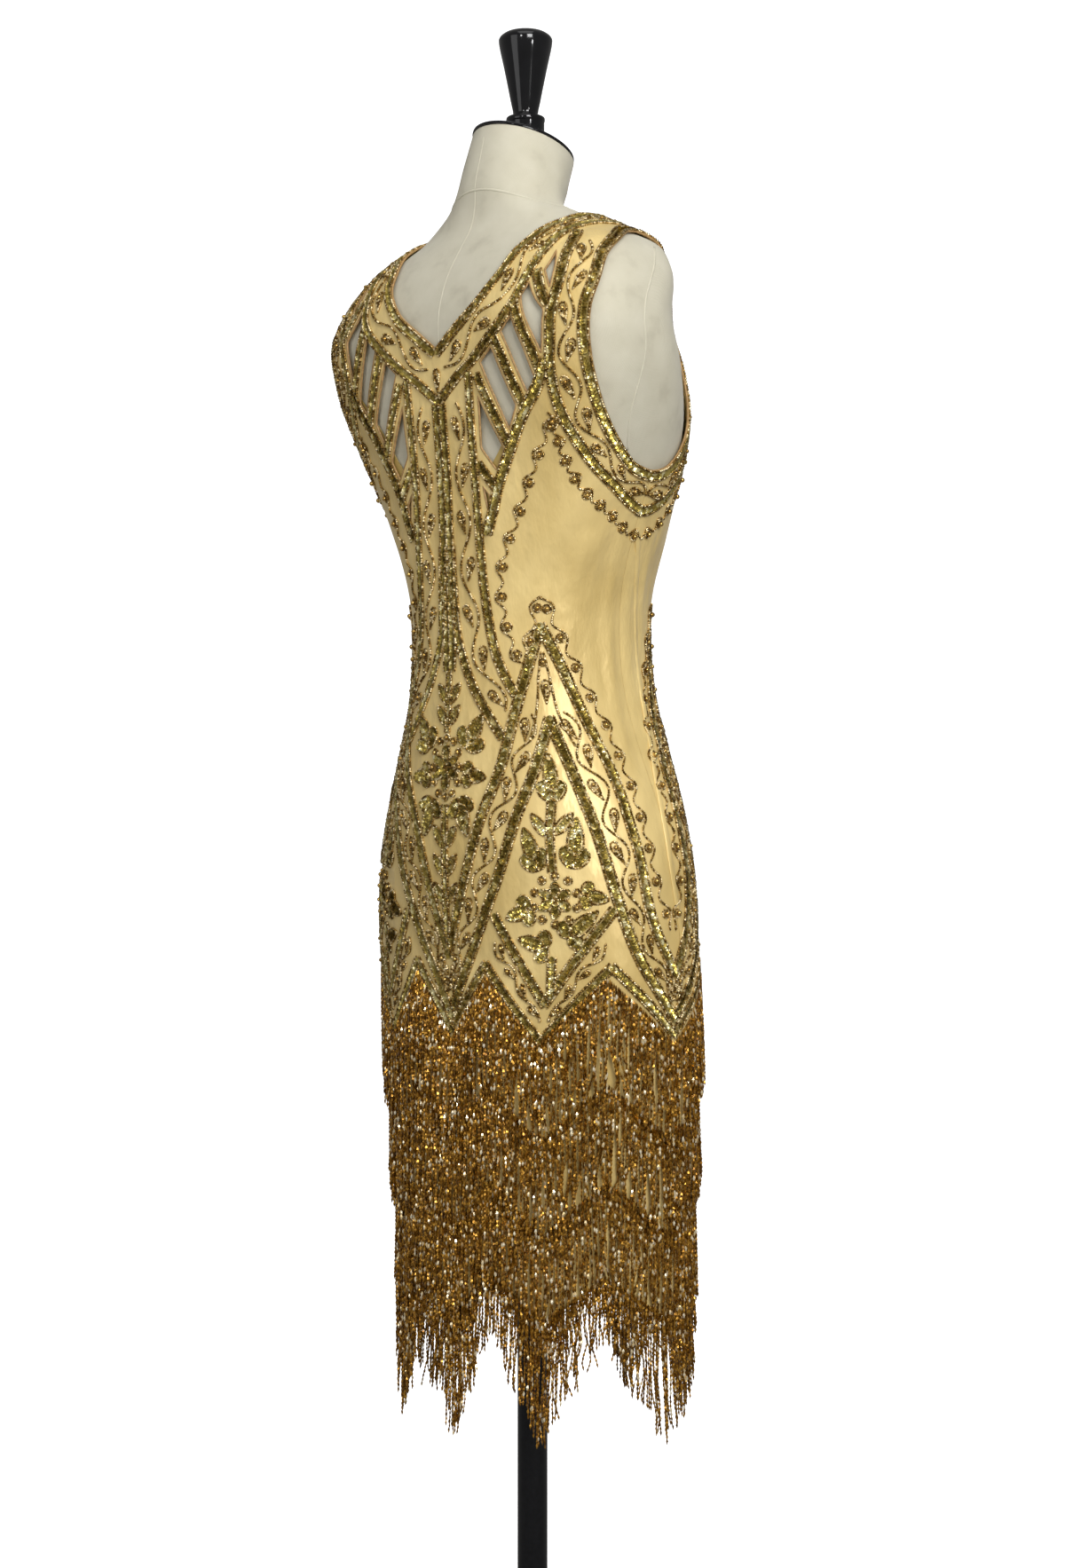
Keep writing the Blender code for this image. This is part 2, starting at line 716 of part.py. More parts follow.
def sheet(name, outline, holes, thickness, material, group, out=0.0):
    """Cloth wall from a flat outline with holes, laid on the gown's surface."""
    loops = [[to_plan(m) for m in outline]] + [[to_plan(m) for m in hole] for hole in holes]
    points = []
    edges = []
    for loop in loops:
        first = len(points)
        points += loop
        edges += [(first + k, first + (k + 1) % len(loop)) for k in range(len(loop))]
    xs = [p.x for p in loops[0]]
    ys = [p.y for p in loops[0]]
    for point in plan_grid(min(xs) + SHEET_MARGIN, max(xs), min(ys) + SHEET_MARGIN, max(ys)):
        if not inside(point, loops[0]) or near_line(point, loops[0], spacing_at(point.y).edge):
            continue
        if any(inside(point, hole) or near_line(point, hole, HOLE_EDGE) for hole in loops[1:]):
            continue
        points.append(point)
    plan, _, triangles, _, _, _ = delaunay_2d_cdt(points, edges, [], 0, 1e-7)
    kept = []
    for triangle in triangles:
        middle = sum((plan[k] for k in triangle), Vector((0.0, 0.0))) / 3.0
        if inside(middle, loops[0]) and not any(inside(middle, hole) for hole in loops[1:]):
            kept.append(tuple(triangle))
    used = sorted({k for triangle in kept for k in triangle})
    renumber = {k: place for place, k in enumerate(used)}
    faces = [tuple(renumber[k] for k in triangle) for triangle in kept]
    return cloth_wall(name, [plan[k] for k in used], faces, thickness, material, group, out)


def cloth_wall(name, plan, faces, thickness, material, group, out):
    """Closed wall whose two faces are both made from the gown's surface."""
    marks = [Mark(math.degrees(p.x / PATTERN_RADIUS), p.y) for p in plan]
    points = [gown_point(m.around, m.level, out) for m in marks]
    points += [gown_point(m.around, m.level, out - thickness) for m in marks]
    count = len(marks)
    sides = {}
    for face in faces:
        for a, b in zip(face, face[1:] + face[:1]):
            sides[(a, b)] = sides.get((a, b), 0) + 1
    rim = [(b, a, a + count, b + count) for a, b in sides if (b, a) not in sides]
    inner = [tuple(k + count for k in reversed(face)) for face in faces]
    return add_mesh(name, points, faces + inner + rim, material, group)


def hem_marks(start, end):
    """Zigzag hem between two places, corners kept."""
    corners = [start]
    corner = math.floor(start / (0.5 * ZIGZAG_PERIOD) + 1.001) * 0.5 * ZIGZAG_PERIOD
    while corner < end - 0.01:
        corners.append(corner)
        corner += 0.5 * ZIGZAG_PERIOD
    corners.append(end)
    marks = [Mark(a, zigzag(TIERS[-1], a) - HEM_BELOW_ROOT) for a in corners]
    return straight_through(marks, HEM_STEP)


def half_outline(neck, arm, lower_armhole, clearance):
    """Edge of a panel's right half from its neck point to its hem, without the hem."""
    edge = curve_through(neck, EDGE_STEP)
    edge += curve_through(arm, EDGE_STEP)
    seam_low = zigzag(TIERS[-1], SEAM_AROUND) - HEM_BELOW_ROOT
    side = [Mark(SEAM_AROUND, lower_armhole), Mark(SEAM_AROUND, seam_low)]
    edge += straight_through(side, SEAM_STEP)[1:]
    return [Mark(m.around + clearance, m.level) if abs(m.around - SEAM_AROUND) < 0.01 else m for m in edge]


def panels(cloth, group):
    """Back and front of the gown, parted by a hair at the side and shoulder seams."""
    clearance = math.degrees(0.5 * FIT_GAP / 0.100)
    right = half_outline(BACK_NECK_EDGE, BACK_ARM_EDGE, BACK_ARM_EDGE[-1].level, -clearance)
    hem = hem_marks(-SEAM_AROUND + clearance, SEAM_AROUND - clearance)
    left = mirrored(right)
    outline = right + list(reversed(hem))[1:-1] + list(reversed(left))[:-1]
    holes = GAPS + [mirrored(gap) for gap in GAPS]
    back = sheet("back_panel", outline, holes, CLOTH, cloth, group)

    neck = list(reversed(FRONT_NECK_EDGE))
    arm = list(reversed(FRONT_ARM_EDGE))
    right = half_outline(neck, arm, FRONT_ARM_EDGE[0].level, clearance)
    hem = hem_marks(SEAM_AROUND + clearance, 360.0 - SEAM_AROUND - clearance)
    left = mirrored(right, 180.0)
    outline = right + hem[1:-1] + list(reversed(left))[:-1]
    front = sheet("front_panel", outline, [], CLOTH, cloth, group)
    return back, front


def slip_edges(cloth, group):
    """Edge of the under slip where it shows through the openwork."""
    lift = -(CLOTH + SLIP_DEPTH)
    for side in ("right", "left"):
        sheet("slip_edge_" + side, sided(SLIP_EDGE, side), [], SLIP_CLOTH, cloth, group, lift)


def ribbon(name, marks, closed, material, group, width=BAND_WIDTH):
    """Raised band along marks, its corners mitred and its four sides made from the gown's points."""
    count = len(marks)
    places = [gown_point(m.around, m.level) for m in marks]
    normals = [face_normal(m.around, m.level) for m in marks]
    points = []
    for k in range(count):
        before = places[(k - 1) % count] if closed or k > 0 else None
        after = places[(k + 1) % count] if closed or k < count - 1 else None
        ahead = (after - places[k]).normalized() if after is not None else None
        behind = (places[k] - before).normalized() if before is not None else ahead
        ahead = ahead if ahead is not None else behind
        along = (ahead + behind).normalized()
        across = along.cross(normals[k]).normalized()
        stretch = 1.0 / max(along.dot(ahead), 0.3)
        reach = across * (0.5 * width * stretch)
        top = BAND_LIFT + BAND_HEIGHT
        for side, lift in ((-1, BAND_LIFT), (1, BAND_LIFT), (1, top), (-1, top)):
            points.append(places[k] + reach * side + normals[k] * lift)
    faces = []
    for k in range(count if closed else count - 1):
        a = 4 * k
        b = 4 * ((k + 1) % count)
        for j in range(4):
            i = (j + 1) % 4
            faces.append((a + j, a + i, b + i, b + j))
    if not closed:
        faces.append((3, 2, 1, 0))
        end = 4 * (count - 1)
        faces.append((end, end + 1, end + 2, end + 3))
    thing = add_mesh(name, points, faces, material, group, smooth=False)
    make_outward(thing)
    return thing


def make_outward(thing):
    """Turn all faces of a closed mesh outward."""
    work = bmesh.new()
    work.from_mesh(thing.data)
    bmesh.ops.recalc_face_normals(work, faces=work.faces)
    if work.calc_volume(signed=True) < 0:
        bmesh.ops.reverse_faces(work, faces=work.faces)
    work.to_mesh(thing.data)
    work.free()


def chevron_marks(rows, sharp):
    """A zigzag band all round, each 90 degrees alike and every second one turned about."""
    pieces = []
    corners = [k for k, row in enumerate(rows) if row.around in sharp]
    for low, high in zip(corners[:-1], corners[1:]):
        pieces.append(curve_through(rows[low:high + 1], BAND_STEP))
    quarter = []
    for piece in pieces:
        quarter += piece[:-1]
    quarter.append(rows[-1])
    back_right = quarter
    front_right = [Mark(180.0 - m.around, m.level) for m in reversed(quarter)]
    right = back_right[:-1] + front_right[:-1]
    left = [Mark(360.0 - m.around, m.level) for m in reversed(right[1:])]
    return right + [front_right[-1]] + left


def all_round(back, front):
    """A closed line through the marks of the right half and their mirror images."""
    right = curve_through(back, NECK_STEP)[:-1] + curve_through(front, NECK_STEP)
    return right + [Mark(-m.around, m.level) for m in reversed(right[1:-1])]


def below(mark):
    """Place of the neck edge's band under its edge."""
    drop = BAND_INWARD / rise(mark.around, mark.level)
    if abs(mark.around) in (0.0, 180.0):
        drop *= POINT_INWARD
    return Mark(mark.around, mark.level - drop)


def outside_armhole(mark):
    """Place of the armhole edge's band beside its edge."""
    across = mark.around - ARM_MIDDLE.around
    up = mark.level - ARM_MIDDLE.level
    distance = math.hypot(across * DEGREE_WIDTH, up * rise(mark.around, mark.level))
    share = BAND_INWARD / max(distance, 1e-6)
    return Mark(mark.around + across * share, mark.level + up * share)


def bands(trim, group):
    """Sequin bands: neck, armholes, columns, chevrons and diamond points."""
    edge = [below(mark) for mark in all_round(BACK_NECK_EDGE, FRONT_NECK_EDGE)]
    ribbon("neck_edge_band", edge, True, trim, group)
    line = all_round(BACK_NECK_INNER_LINE, FRONT_NECK_INNER_LINE)
    ribbon("neck_line_band", line, True, trim, group)
    hole = curve_through(BACK_ARM_EDGE, NECK_STEP)[:-1] + curve_through(FRONT_ARM_EDGE, NECK_STEP)[:-1]
    edge = [outside_armhole(mark) for mark in hole]
    line = curve_through(BACK_ARM_LINE, NECK_STEP)[:-1] + curve_through(FRONT_ARM_LINE, NECK_STEP)
    column = curve_through(COLUMN_LINE, COLUMN_STEP)
    branch = curve_through(BRANCH_LINE, COLUMN_STEP)
    for side in ("right", "left"):
        ribbon("armhole_edge_band_" + side, sided(edge, side), True, trim, group)
        ribbon("armhole_line_band_" + side, sided(line, side), False, trim, group)
        ribbon("column_band_" + side, sided(column, side), False, trim, group)
        ribbon("branch_band_" + side, sided(branch, side), False, trim, group, BRANCH_WIDTH)
    ribbon("centre_band", curve_through(CENTRE_LINE, BAND_STEP), False, trim, group, CENTRE_WIDTH)
    ribbon("outer_chevron_band", chevron_marks(OUTER_CHEVRON, OUTER_SHARP), True, trim, group)
    ribbon("inner_chevron_band", chevron_marks(INNER_CHEVRON, INNER_SHARP), True, trim, group)
    diamond = straight_through(DIAMOND_V, BAND_STEP)
    ribbon("diamond_band_back_right", diamond, False, trim, group)
    ribbon("diamond_band_back_left", mirrored(diamond), False, trim, group)
    ribbon("diamond_band_front_right", mirrored(diamond, 90.0), False, trim, group)
    ribbon("diamond_band_front_left", mirrored(mirrored(diamond), -90.0), False, trim, group)


def fringe_tier(tier, material, group):
    """Zigzag backing strip all round with strands that grow from its lower edge."""
    points = []
    faces = []
    count = tier.strands
    half_angle = 0.5 * math.degrees(tier.width / PATTERN_RADIUS)
    for k in range(count):
        middle = 360.0 * k / count
        for side in (-1, 1):
            around = middle + side * half_angle
            top = zigzag(tier, middle)
            low = top - STRIP_HEIGHT
            inner = STRIP_LIFT
            outer = STRIP_LIFT + STRIP_THICKNESS
            points += [
                gown_point(around, top, inner),
                gown_point(around, top, outer),
                gown_point(around, low, outer),
                gown_point(around, low, inner),
            ]
    for k in range(2 * count):
        a = 4 * k
        b = 4 * ((k + 1) % (2 * count))
        under_strand = k % 2 == 0
        for j in range(4):
            i = (j + 1) % 4
            if under_strand and j == 2:
                continue
            faces.append((a + j, a + i, b + i, b + j))
    for k in range(count):
        middle = 360.0 * k / count
        share = (zigzag(tier, middle) - tier.low) / (tier.high - tier.low)
        length = tier.low_length + (tier.high_length - tier.low_length) * share
        tip = zigzag(tier, middle) - STRIP_HEIGHT - length
        first = 8 * k
        root = (first + 3, first + 2, first + 6, first + 7)
        start = len(points)
        face = TIP_LIFT + STRAND_DEPTH
        for side, lift in ((-1, TIP_LIFT), (-1, face), (1, face), (1, TIP_LIFT)):
            around = middle + side * half_angle * TIP_SHARE
            points.append(gown_point(around, max(tip, LEAST_LEVEL), lift))
            points[-1].z = tip
        ends = tuple(range(start, start + 4))
        for j in range(4):
            i = (j + 1) % 4
            faces.append((root[j], root[i], ends[i], ends[j]))
        faces.append(ends)
    thing = add_mesh(tier.name, points, faces, material, group, smooth=False)
    make_outward(thing)
    return thing


def main():
    """Build the gown and its stand."""
    for old in list(bpy.data.objects):
        bpy.data.objects.remove(old, do_unlink=True)
    group = collection("sequin_gown")
    cutters = collection("cutters")
    linen = make_material("form_linen", (0.70, 0.66, 0.58), 0.85)
    black = make_material("black_lacquer", (0.012, 0.012, 0.014), 0.18)
    pole_black = make_material("black_metal", (0.02, 0.02, 0.022), 0.35)
    satin = make_material("gold_satin", (0.80, 0.60, 0.33), 0.42, sheen=0.3)
    slip = make_material("slip_satin", (0.62, 0.48, 0.22), 0.45, sheen=0.3)
    sequins = make_material("sequin_band", (0.30, 0.23, 0.06), 0.30, 0.5)
    beads = make_material("bead_fringe", (0.36, 0.22, 0.06), 0.30, 0.3)
    dress_form(linen, group)
    neck_cap(black, group)
    finial(black, group, cutters)
    stand(pole_black, group)
    panels(satin, group)
    slip_edges(slip, group)
    bands(sequins, group)
    for tier in TIERS:
        fringe_tier(tier, beads, group)


main()
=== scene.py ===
"""Looks of the beaded gown and its dress form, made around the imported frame.

Metres, +Z up, the front towards -Y and the wearer's right towards -X. A place on the gown is
a pair: degrees from the centre back towards the wearer's right, and a level, which is a height
that tilts over the shoulders. The pattern is drawn as strokes on such places, one quarter or
half at a time, and sewn on as sequins, seed beads and pearls wherever that part repeats.
"""
import math
from collections import namedtuple

import bpy
import numpy as np
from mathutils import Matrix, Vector
from mathutils.geometry import delaunay_2d_cdt


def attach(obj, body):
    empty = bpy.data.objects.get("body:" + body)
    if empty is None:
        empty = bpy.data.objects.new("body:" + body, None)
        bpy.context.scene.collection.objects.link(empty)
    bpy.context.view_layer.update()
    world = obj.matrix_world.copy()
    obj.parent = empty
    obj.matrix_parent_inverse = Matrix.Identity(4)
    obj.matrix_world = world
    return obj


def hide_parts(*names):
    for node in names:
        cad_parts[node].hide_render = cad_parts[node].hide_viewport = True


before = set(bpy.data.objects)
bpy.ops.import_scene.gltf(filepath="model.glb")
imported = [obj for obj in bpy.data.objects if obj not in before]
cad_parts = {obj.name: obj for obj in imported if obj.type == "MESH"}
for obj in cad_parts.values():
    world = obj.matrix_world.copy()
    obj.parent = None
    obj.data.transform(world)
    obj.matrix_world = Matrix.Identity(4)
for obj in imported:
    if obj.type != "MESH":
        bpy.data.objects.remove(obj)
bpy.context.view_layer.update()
random = np.random.default_rng(1926)

# Camera and light
CAMERA_DISTANCE = 2.7
CAMERA_AZIMUTH = 226.0
CAMERA_HEIGHT = 0.87
CAMERA_LENS = 66.3
SENSOR_WIDTH = 36.0
LIGHT_TARGET = (0.0, 0.0, 0.9)
WORLD_STRENGTH = 0.28
SHEET_HALF = 7.0
BACKDROP_DISTANCE = 5.5
Light = namedtuple("Light", "name turn distance height size power")
LIGHTS = [
    Light("key", 18.0, 3.0, 2.2, 1.1, 72.0),
    Light("fill", -50.0, 3.2, 1.6, 1.6, 12.0),
    Light("top", 0.0, 0.8, 3.2, 1.4, 10.0),
    Light("spark_left", -18.0, 2.9, 1.9, 0.22, 7.0),
    Light("spark_right", 30.0, 2.9, 1.3, 0.20, 6.0),
    Light("far_side", 180.0, 3.0, 2.2, 1.8, 10.0),
]

# Sizes shared with the construction
CLOTH = 0.0015
FIT_GAP = 0.0003
SEAM_AROUND = 93.0
SEAM_RADIUS = 0.100
PATTERN_RADIUS = 0.145
FORM_BOTTOM = 0.620
FORM_ROUNDING = 0.006
NECK_TOP = 1.486
PLANE_TOP_FROM = 1.420
LOWEST_LEVEL = 0.360
CAP_THICKNESS = 0.003
CAP_OVERHANG = 0.0005
CAP_EDGE = 0.0009
POLE_RADIUS = 0.014
BASE_RADIUS = 0.200
BASE_HEIGHT = 0.010
COLLAR_RADIUS = 0.026
COLLAR_HEIGHT = 0.034
FINIAL_Y = 0.009
FINIAL_TOP = 1.573
SLIP_LIFT = -(CLOTH + 0.0009)
SLIP_CLOTH = 0.0008
MESH_GAP = (0.0062, 0.0085)
MESH_MARGIN = 0.0032

# Sewn pieces
SEED = 0.0023
SEED_PITCH = 0.0025
SEED_LENGTH = 1.95
SEED_GIRTH = 1.30
SEQUIN_PITCH = 0.0028
SEQUIN_TILT = 17.0
ROW_WIDTH = 0.0066
PEARL = 0.0050
LEAF_LENGTH = 0.0205
LEAF_WIDTH = 0.0092
LEAF_PEARL = 0.0042
FINE_SEED = 0.86 * SEED
FINER_SEED = 0.80 * SEED
LANE_WIDTH = 0.0036
VINE_PLACES = 60
SCALLOP_SWING = 0.0040

# Rows of the beading: how far they and the vines stand in, and their widths
EDGE_INSET = 0.0046
VINE_INSET = 0.004
NECK_EDGE_WIDTH = 0.0052
NECK_LINE_WIDTH = 0.0054
ARM_WIDTH = 0.0060
BAR_WIDTH = 0.0054
FOOT_WIDTH = 0.0070
COLUMN_WIDTH = 0.0048
BRANCH_WIDTH = 0.0050
CENTRE_WIDTH = 0.0056
DIAMOND_WIDTH = 0.0056
HIP_WIDTH = 0.0050

# Rolled cords of the edges, ridges over the side seams and tapes of the form
CORD_RADIUS = 0.0012
GAP_CORD_RADIUS = 0.0011
CORD_SUNK = -0.0006
WELT_LIFT = 0.0001
WELT_RADIUS = 0.0032
TAPE_RADIUS = 0.0011
MIDDLE_TAPE_RADIUS = 0.0008
WELT_FLATNESS = 0.34

# Sections of the gown, one row a level
Level = namedtuple(
    "Level", "level z_back z_side z_front half_width y_side y_back y_front square_back square_front"
)
LEVELS = [
    Level(0.360, 0.360, 0.360, 0.360, 0.1500, -0.016, 0.093, -0.122, 2.10, 2.1),
    Level(0.460, 0.460, 0.460, 0.460, 0.1560, -0.016, 0.095, -0.121, 2.10, 2.1),
    Level(0.580, 0.580, 0.580, 0.580, 0.1640, -0.013, 0.099, -0.120, 2.15, 2.1),
    Level(0.640, 0.640, 0.640, 0.640, 0.1690, -0.011, 0.101, -0.120, 2.20, 2.1),
    Level(0.700, 0.700, 0.700, 0.700, 0.1730, -0.009, 0.104, -0.117, 2.20, 2.1),
    Level(0.750, 0.750, 0.750, 0.750, 0.1720, -0.007, 0.108, -0.114, 2.20, 2.1),
    Level(0.800, 0.800, 0.800, 0.800, 0.1660, -0.006, 0.110, -0.114, 2.20, 2.1),
    Level(0.850, 0.850, 0.850, 0.850, 0.1510, -0.004, 0.110, -0.116, 2.20, 2.1),
    Level(0.900, 0.900, 0.900, 0.900, 0.1310, -0.002, 0.108, -0.115, 2.20, 2.1),
    Level(0.950, 0.950, 0.950, 0.950, 0.1150, 0.000, 0.105, -0.109, 2.20, 2.1),
    Level(1.000, 1.000, 1.000, 1.000, 0.1100, 0.002, 0.104, -0.105, 2.20, 2.1),
    Level(1.050, 1.050, 1.050, 1.050, 0.1150, 0.004, 0.106, -0.107, 2.30, 2.1),
    Level(1.100, 1.100, 1.100, 1.100, 0.1320, 0.006, 0.108, -0.110, 2.50, 2.2),
    Level(1.150, 1.150, 1.150, 1.150, 0.1550, 0.009, 0.111, -0.110, 2.70, 2.2),
    Level(1.200, 1.200, 1.200, 1.195, 0.1780, 0.016, 0.116, -0.105, 3.00, 2.1),
    Level(1.250, 1.250, 1.248, 1.238, 0.1930, 0.027, 0.121, -0.088, 3.20, 2.0),
    Level(1.300, 1.300, 1.2923, 1.2794, 0.1924, 0.0344, 0.1225, -0.0668, 3.23, 2.10),
    Level(1.340, 1.337, 1.3367, 1.3161, 0.1768, 0.0163, 0.1093, -0.0480, 2.74, 2.80),
    Level(1.365, 1.362, 1.3590, 1.3397, 0.1556, 0.0087, 0.0935, -0.0428, 2.49, 2.75),
    Level(1.385, 1.382, 1.3761, 1.3561, 0.1186, 0.0118, 0.0812, -0.0370, 2.20, 2.37),
    Level(1.402, 1.400, 1.3951, 1.3701, 0.0774, 0.0199, 0.0769, -0.0304, 2.31, 1.96),
    Level(1.420, 1.420, 1.4053, 1.3869, 0.0587, 0.0232, 0.0763, -0.0237, 2.29, 1.67),
    Level(1.445, 1.445, 1.4334, 1.4123, 0.0537, 0.0178, 0.0702, -0.0293, 2.20, 1.81),
    Level(1.486, 1.478, 1.4612, 1.4449, 0.0480, 0.0130, 0.0616, -0.0391, 2.02, 2.03),
]

# How far the dress form stands inside the gown's face
Inset = namedtuple("Inset", "level depth")
FORM_INSETS = [
    Inset(0.60, 0.0070),
    Inset(0.80, 0.0050),
    Inset(1.00, 0.0075),
    Inset(1.13, 0.0050),
    Inset(1.28, 0.0044),
    Inset(1.32, 0.0044),
    Inset(1.345, 0.0036),
    Inset(1.400, 0.0030),
    Inset(1.49, 0.0025),
]

# Knob on the neck, as radius and height
KNOB_PROFILE = [
    (0.0176, 1.4530), (0.0176, 1.4864), (0.0182, 1.4888), (0.0175, 1.4914), (0.0135, 1.4934),
    (0.0118, 1.4955), (0.0141, 1.5070), (0.0172, 1.5225), (0.0206, 1.5390), (0.0240, 1.5543),
    (0.0251, 1.5614), (0.0249, 1.5645), (0.0227, 1.5676), (0.0176, 1.5707), (0.0092, 1.5726),
    (0.0010, FINIAL_TOP),
]

# Seam of the form's cover over the shoulder's end
SHOULDER_SEAM = [
    (91.5, 1.357), (88.5, 1.3235), (86.5, 1.285), (84.5, 1.244), (80.5, 1.196), (81.5, 1.164),
]

# Edges of the cloth and its cutwork, right half
BACK_NECK_EDGE = [
    (0.0, 1.264), (12.0, 1.278), (28.0, 1.2995), (37.0, 1.324), (43.5, 1.353), (56.0, 1.3765),
    (75.0, 1.3905), (93.0, 1.3935),
]
FRONT_NECK_EDGE = [
    (93.0, 1.3935), (112.0, 1.391), (128.0, 1.3705), (141.0, 1.3355), (158.0, 1.2995), (170.0, 1.258),
    (180.0, 1.225),
]
BACK_NECK_LINE = [
    (0.0, 1.216), (15.5, 1.236), (28.0, 1.251), (40.5, 1.2735), (49.5, 1.300), (52.5, 1.333),
    (59.5, 1.3635), (74.5, 1.3805), (93.0, 1.3855),
]
FRONT_NECK_LINE = [
    (93.0, 1.3855), (111.5, 1.382), (123.5, 1.3515), (138.0, 1.3175), (154.5, 1.271), (168.0, 1.214),
    (180.0, 1.172),
]
BACK_ARM_EDGE = [
    (93.0, 1.3755), (84.0, 1.3705), (77.0, 1.357), (72.5, 1.3375), (71.5, 1.3125), (70.0, 1.2875),
    (68.5, 1.257), (69.0, 1.225), (71.5, 1.197), (76.5, 1.174), (84.0, 1.156), (93.0, 1.150),
]
FRONT_ARM_EDGE = [
    (93.0, 1.150), (101.0, 1.156), (108.0, 1.174), (113.0, 1.202), (116.0, 1.240), (116.5, 1.2825),
    (113.5, 1.322), (107.0, 1.350), (99.0, 1.3695), (93.0, 1.3755),
]
BACK_ARM_LINE = [
    (63.5, 1.3565), (61.5, 1.3345), (62.0, 1.307), (60.0, 1.273), (58.0, 1.238), (58.5, 1.205),
    (62.5, 1.177), (69.5, 1.152), (77.5, 1.136), (85.0, 1.124), (93.0, 1.116),
]
ARM_LINE_START = (65.5, 1.3665)
FRONT_ARM_LINE = [
    (93.0, 1.116), (101.0, 1.122), (110.0, 1.140), (118.0, 1.170), (123.0, 1.206), (125.0, 1.245),
    (124.5, 1.288), (119.0, 1.3235), (113.5, 1.3495),
]
GAPS = [
    [(56.5, 1.3260), (58.5, 1.3450), (60.0, 1.3095)],
    [(51.5, 1.3055), (53.0, 1.3170), (59.0, 1.2905), (56.0, 1.2480)],
    [(43.5, 1.2730), (48.5, 1.2875), (53.0, 1.226), (49.5, 1.215)],
    [(31.0, 1.2470), (38.0, 1.2600), (45.0, 1.205), (41.0, 1.184)],
    [(27.5, 1.217), (38.0, 1.168), (33.5, 1.150), (26.0, 1.171)],
    [(25.5, 1.137), (29.5, 1.127), (28.5, 1.106)],
]
LATTICE_BARS = [
    [(54.5, 1.3250), (60.0, 1.2965)],
    [(50.0, 1.2980), (55.0, 1.234)],
    [(40.5, 1.2685), (47.6, 1.207)],
    [(28.6, 1.236), (40.0, 1.174)],
    [(24.4, 1.157), (32.0, 1.137)],
]
LATTICE_FOOT = [
    (57.0, 1.242), (53.0, 1.219), (47.0, 1.196), (41.5, 1.170), (34.0, 1.136), (30.5, 1.114),
    (27.0, 1.096),
]
SLIP_EDGE = [
    (55.0, 1.236), (44.0, 1.200), (35.0, 1.168), (24.5, 1.140), (23.5, 1.092), (30.0, 1.094),
    (40.0, 1.135), (50.0, 1.180), (56.5, 1.210),
]

# Rows of the back, right half
COLUMN_LINE = [
    (23.6, 1.238), (21.8, 1.190), (21.5, 1.140), (23.0, 1.064), (24.5, 1.030), (28.0, 0.992),
    (33.5, 0.966), (38.0, 0.951),
]
BRANCH_LINE = [(3.4, 1.085), (4.6, 1.040), (6.0, 1.006), (11.0, 0.978), (18.0, 0.952), (32.0, 0.912)]
BESIDE_CENTRE = [(2.3, 1.213), (2.3, 1.140), (2.3, 1.060), (2.0, 1.000), (1.8, 0.974)]
CENTRE_SIDE = [
    (6.6, 1.213), (6.6, 1.150), (7.0, 1.090), (8.0, 1.030), (12.0, 0.990), (19.0, 0.962), (31.0, 0.925),
]
SCALLOP_BACK = [
    (56.8, 1.197), (54.0, 1.180), (50.0, 1.158), (45.5, 1.132), (40.5, 1.104), (34.5, 1.077),
    (31.5, 1.047), (33.0, 1.019), (37.0, 0.990), (42.0, 0.974),
]
SCALLOP_ARM = [
    (56.8, 1.197), (60.0, 1.160), (67.0, 1.132), (78.5, 1.113), (90.0, 1.098), (99.5, 1.098),
    (110.0, 1.116), (120.0, 1.150), (127.0, 1.195),
]

# Rows of one quarter, from the centre back to the side
OUTER_LEFT = [(0.0, 0.714), (10.5, 0.774), (21.0, 0.836), (31.0, 0.883), (40.0, 0.948), (50.5, 1.012)]
OUTER_RIGHT = [
    (50.5, 1.012), (60.5, 0.972), (70.0, 0.920), (76.0, 0.878), (79.0, 0.820), (82.0, 0.752), (90.0, 0.700),
]
INNER_LEFT = [
    (0.0, 0.660), (8.5, 0.694), (17.5, 0.728), (29.0, 0.782), (38.0, 0.839), (46.0, 0.882), (53.0, 0.928),
]
INNER_RIGHT = [(53.0, 0.928), (60.0, 0.884), (66.0, 0.832), (71.0, 0.772), (78.0, 0.712), (90.0, 0.660)]
DIAMOND_V = [(28.0, 0.752), (47.5, 0.674), (70.0, 0.758)]
DIAMOND_VINES = [
    ([(31.0, 0.733), (47.0, 0.662)], [(24.5, 0.722), (45.0, 0.655)]),
    ([(65.0, 0.733), (48.0, 0.662)], [(69.5, 0.722), (49.0, 0.655)]),
]
HIP_LINE = [(0.0, 0.646), (22.5, 0.708), (46.0, 0.640), (69.0, 0.708), (90.0, 0.646)]
SCALLOP_PEAK = [
    (42.5, 0.985), (46.0, 1.010), (50.0, 1.040), (54.5, 1.030), (60.5, 1.004), (67.5, 0.976),
    (73.5, 0.948), (79.0, 0.920), (82.5, 0.880), (84.0, 0.830), (85.5, 0.780), (90.0, 0.742),
]

# Stems that run down from the peak on either side of the inner chevron's point
APEX_STEM_LEFT = [(50.4, 0.987), (49.0, 0.966), (48.2, 0.944), (46.6, 0.925), (44.0, 0.908)]
APEX_STEM_RIGHT = [(51.8, 0.987), (54.4, 0.962), (56.4, 0.938), (59.0, 0.922), (62.5, 0.905)]

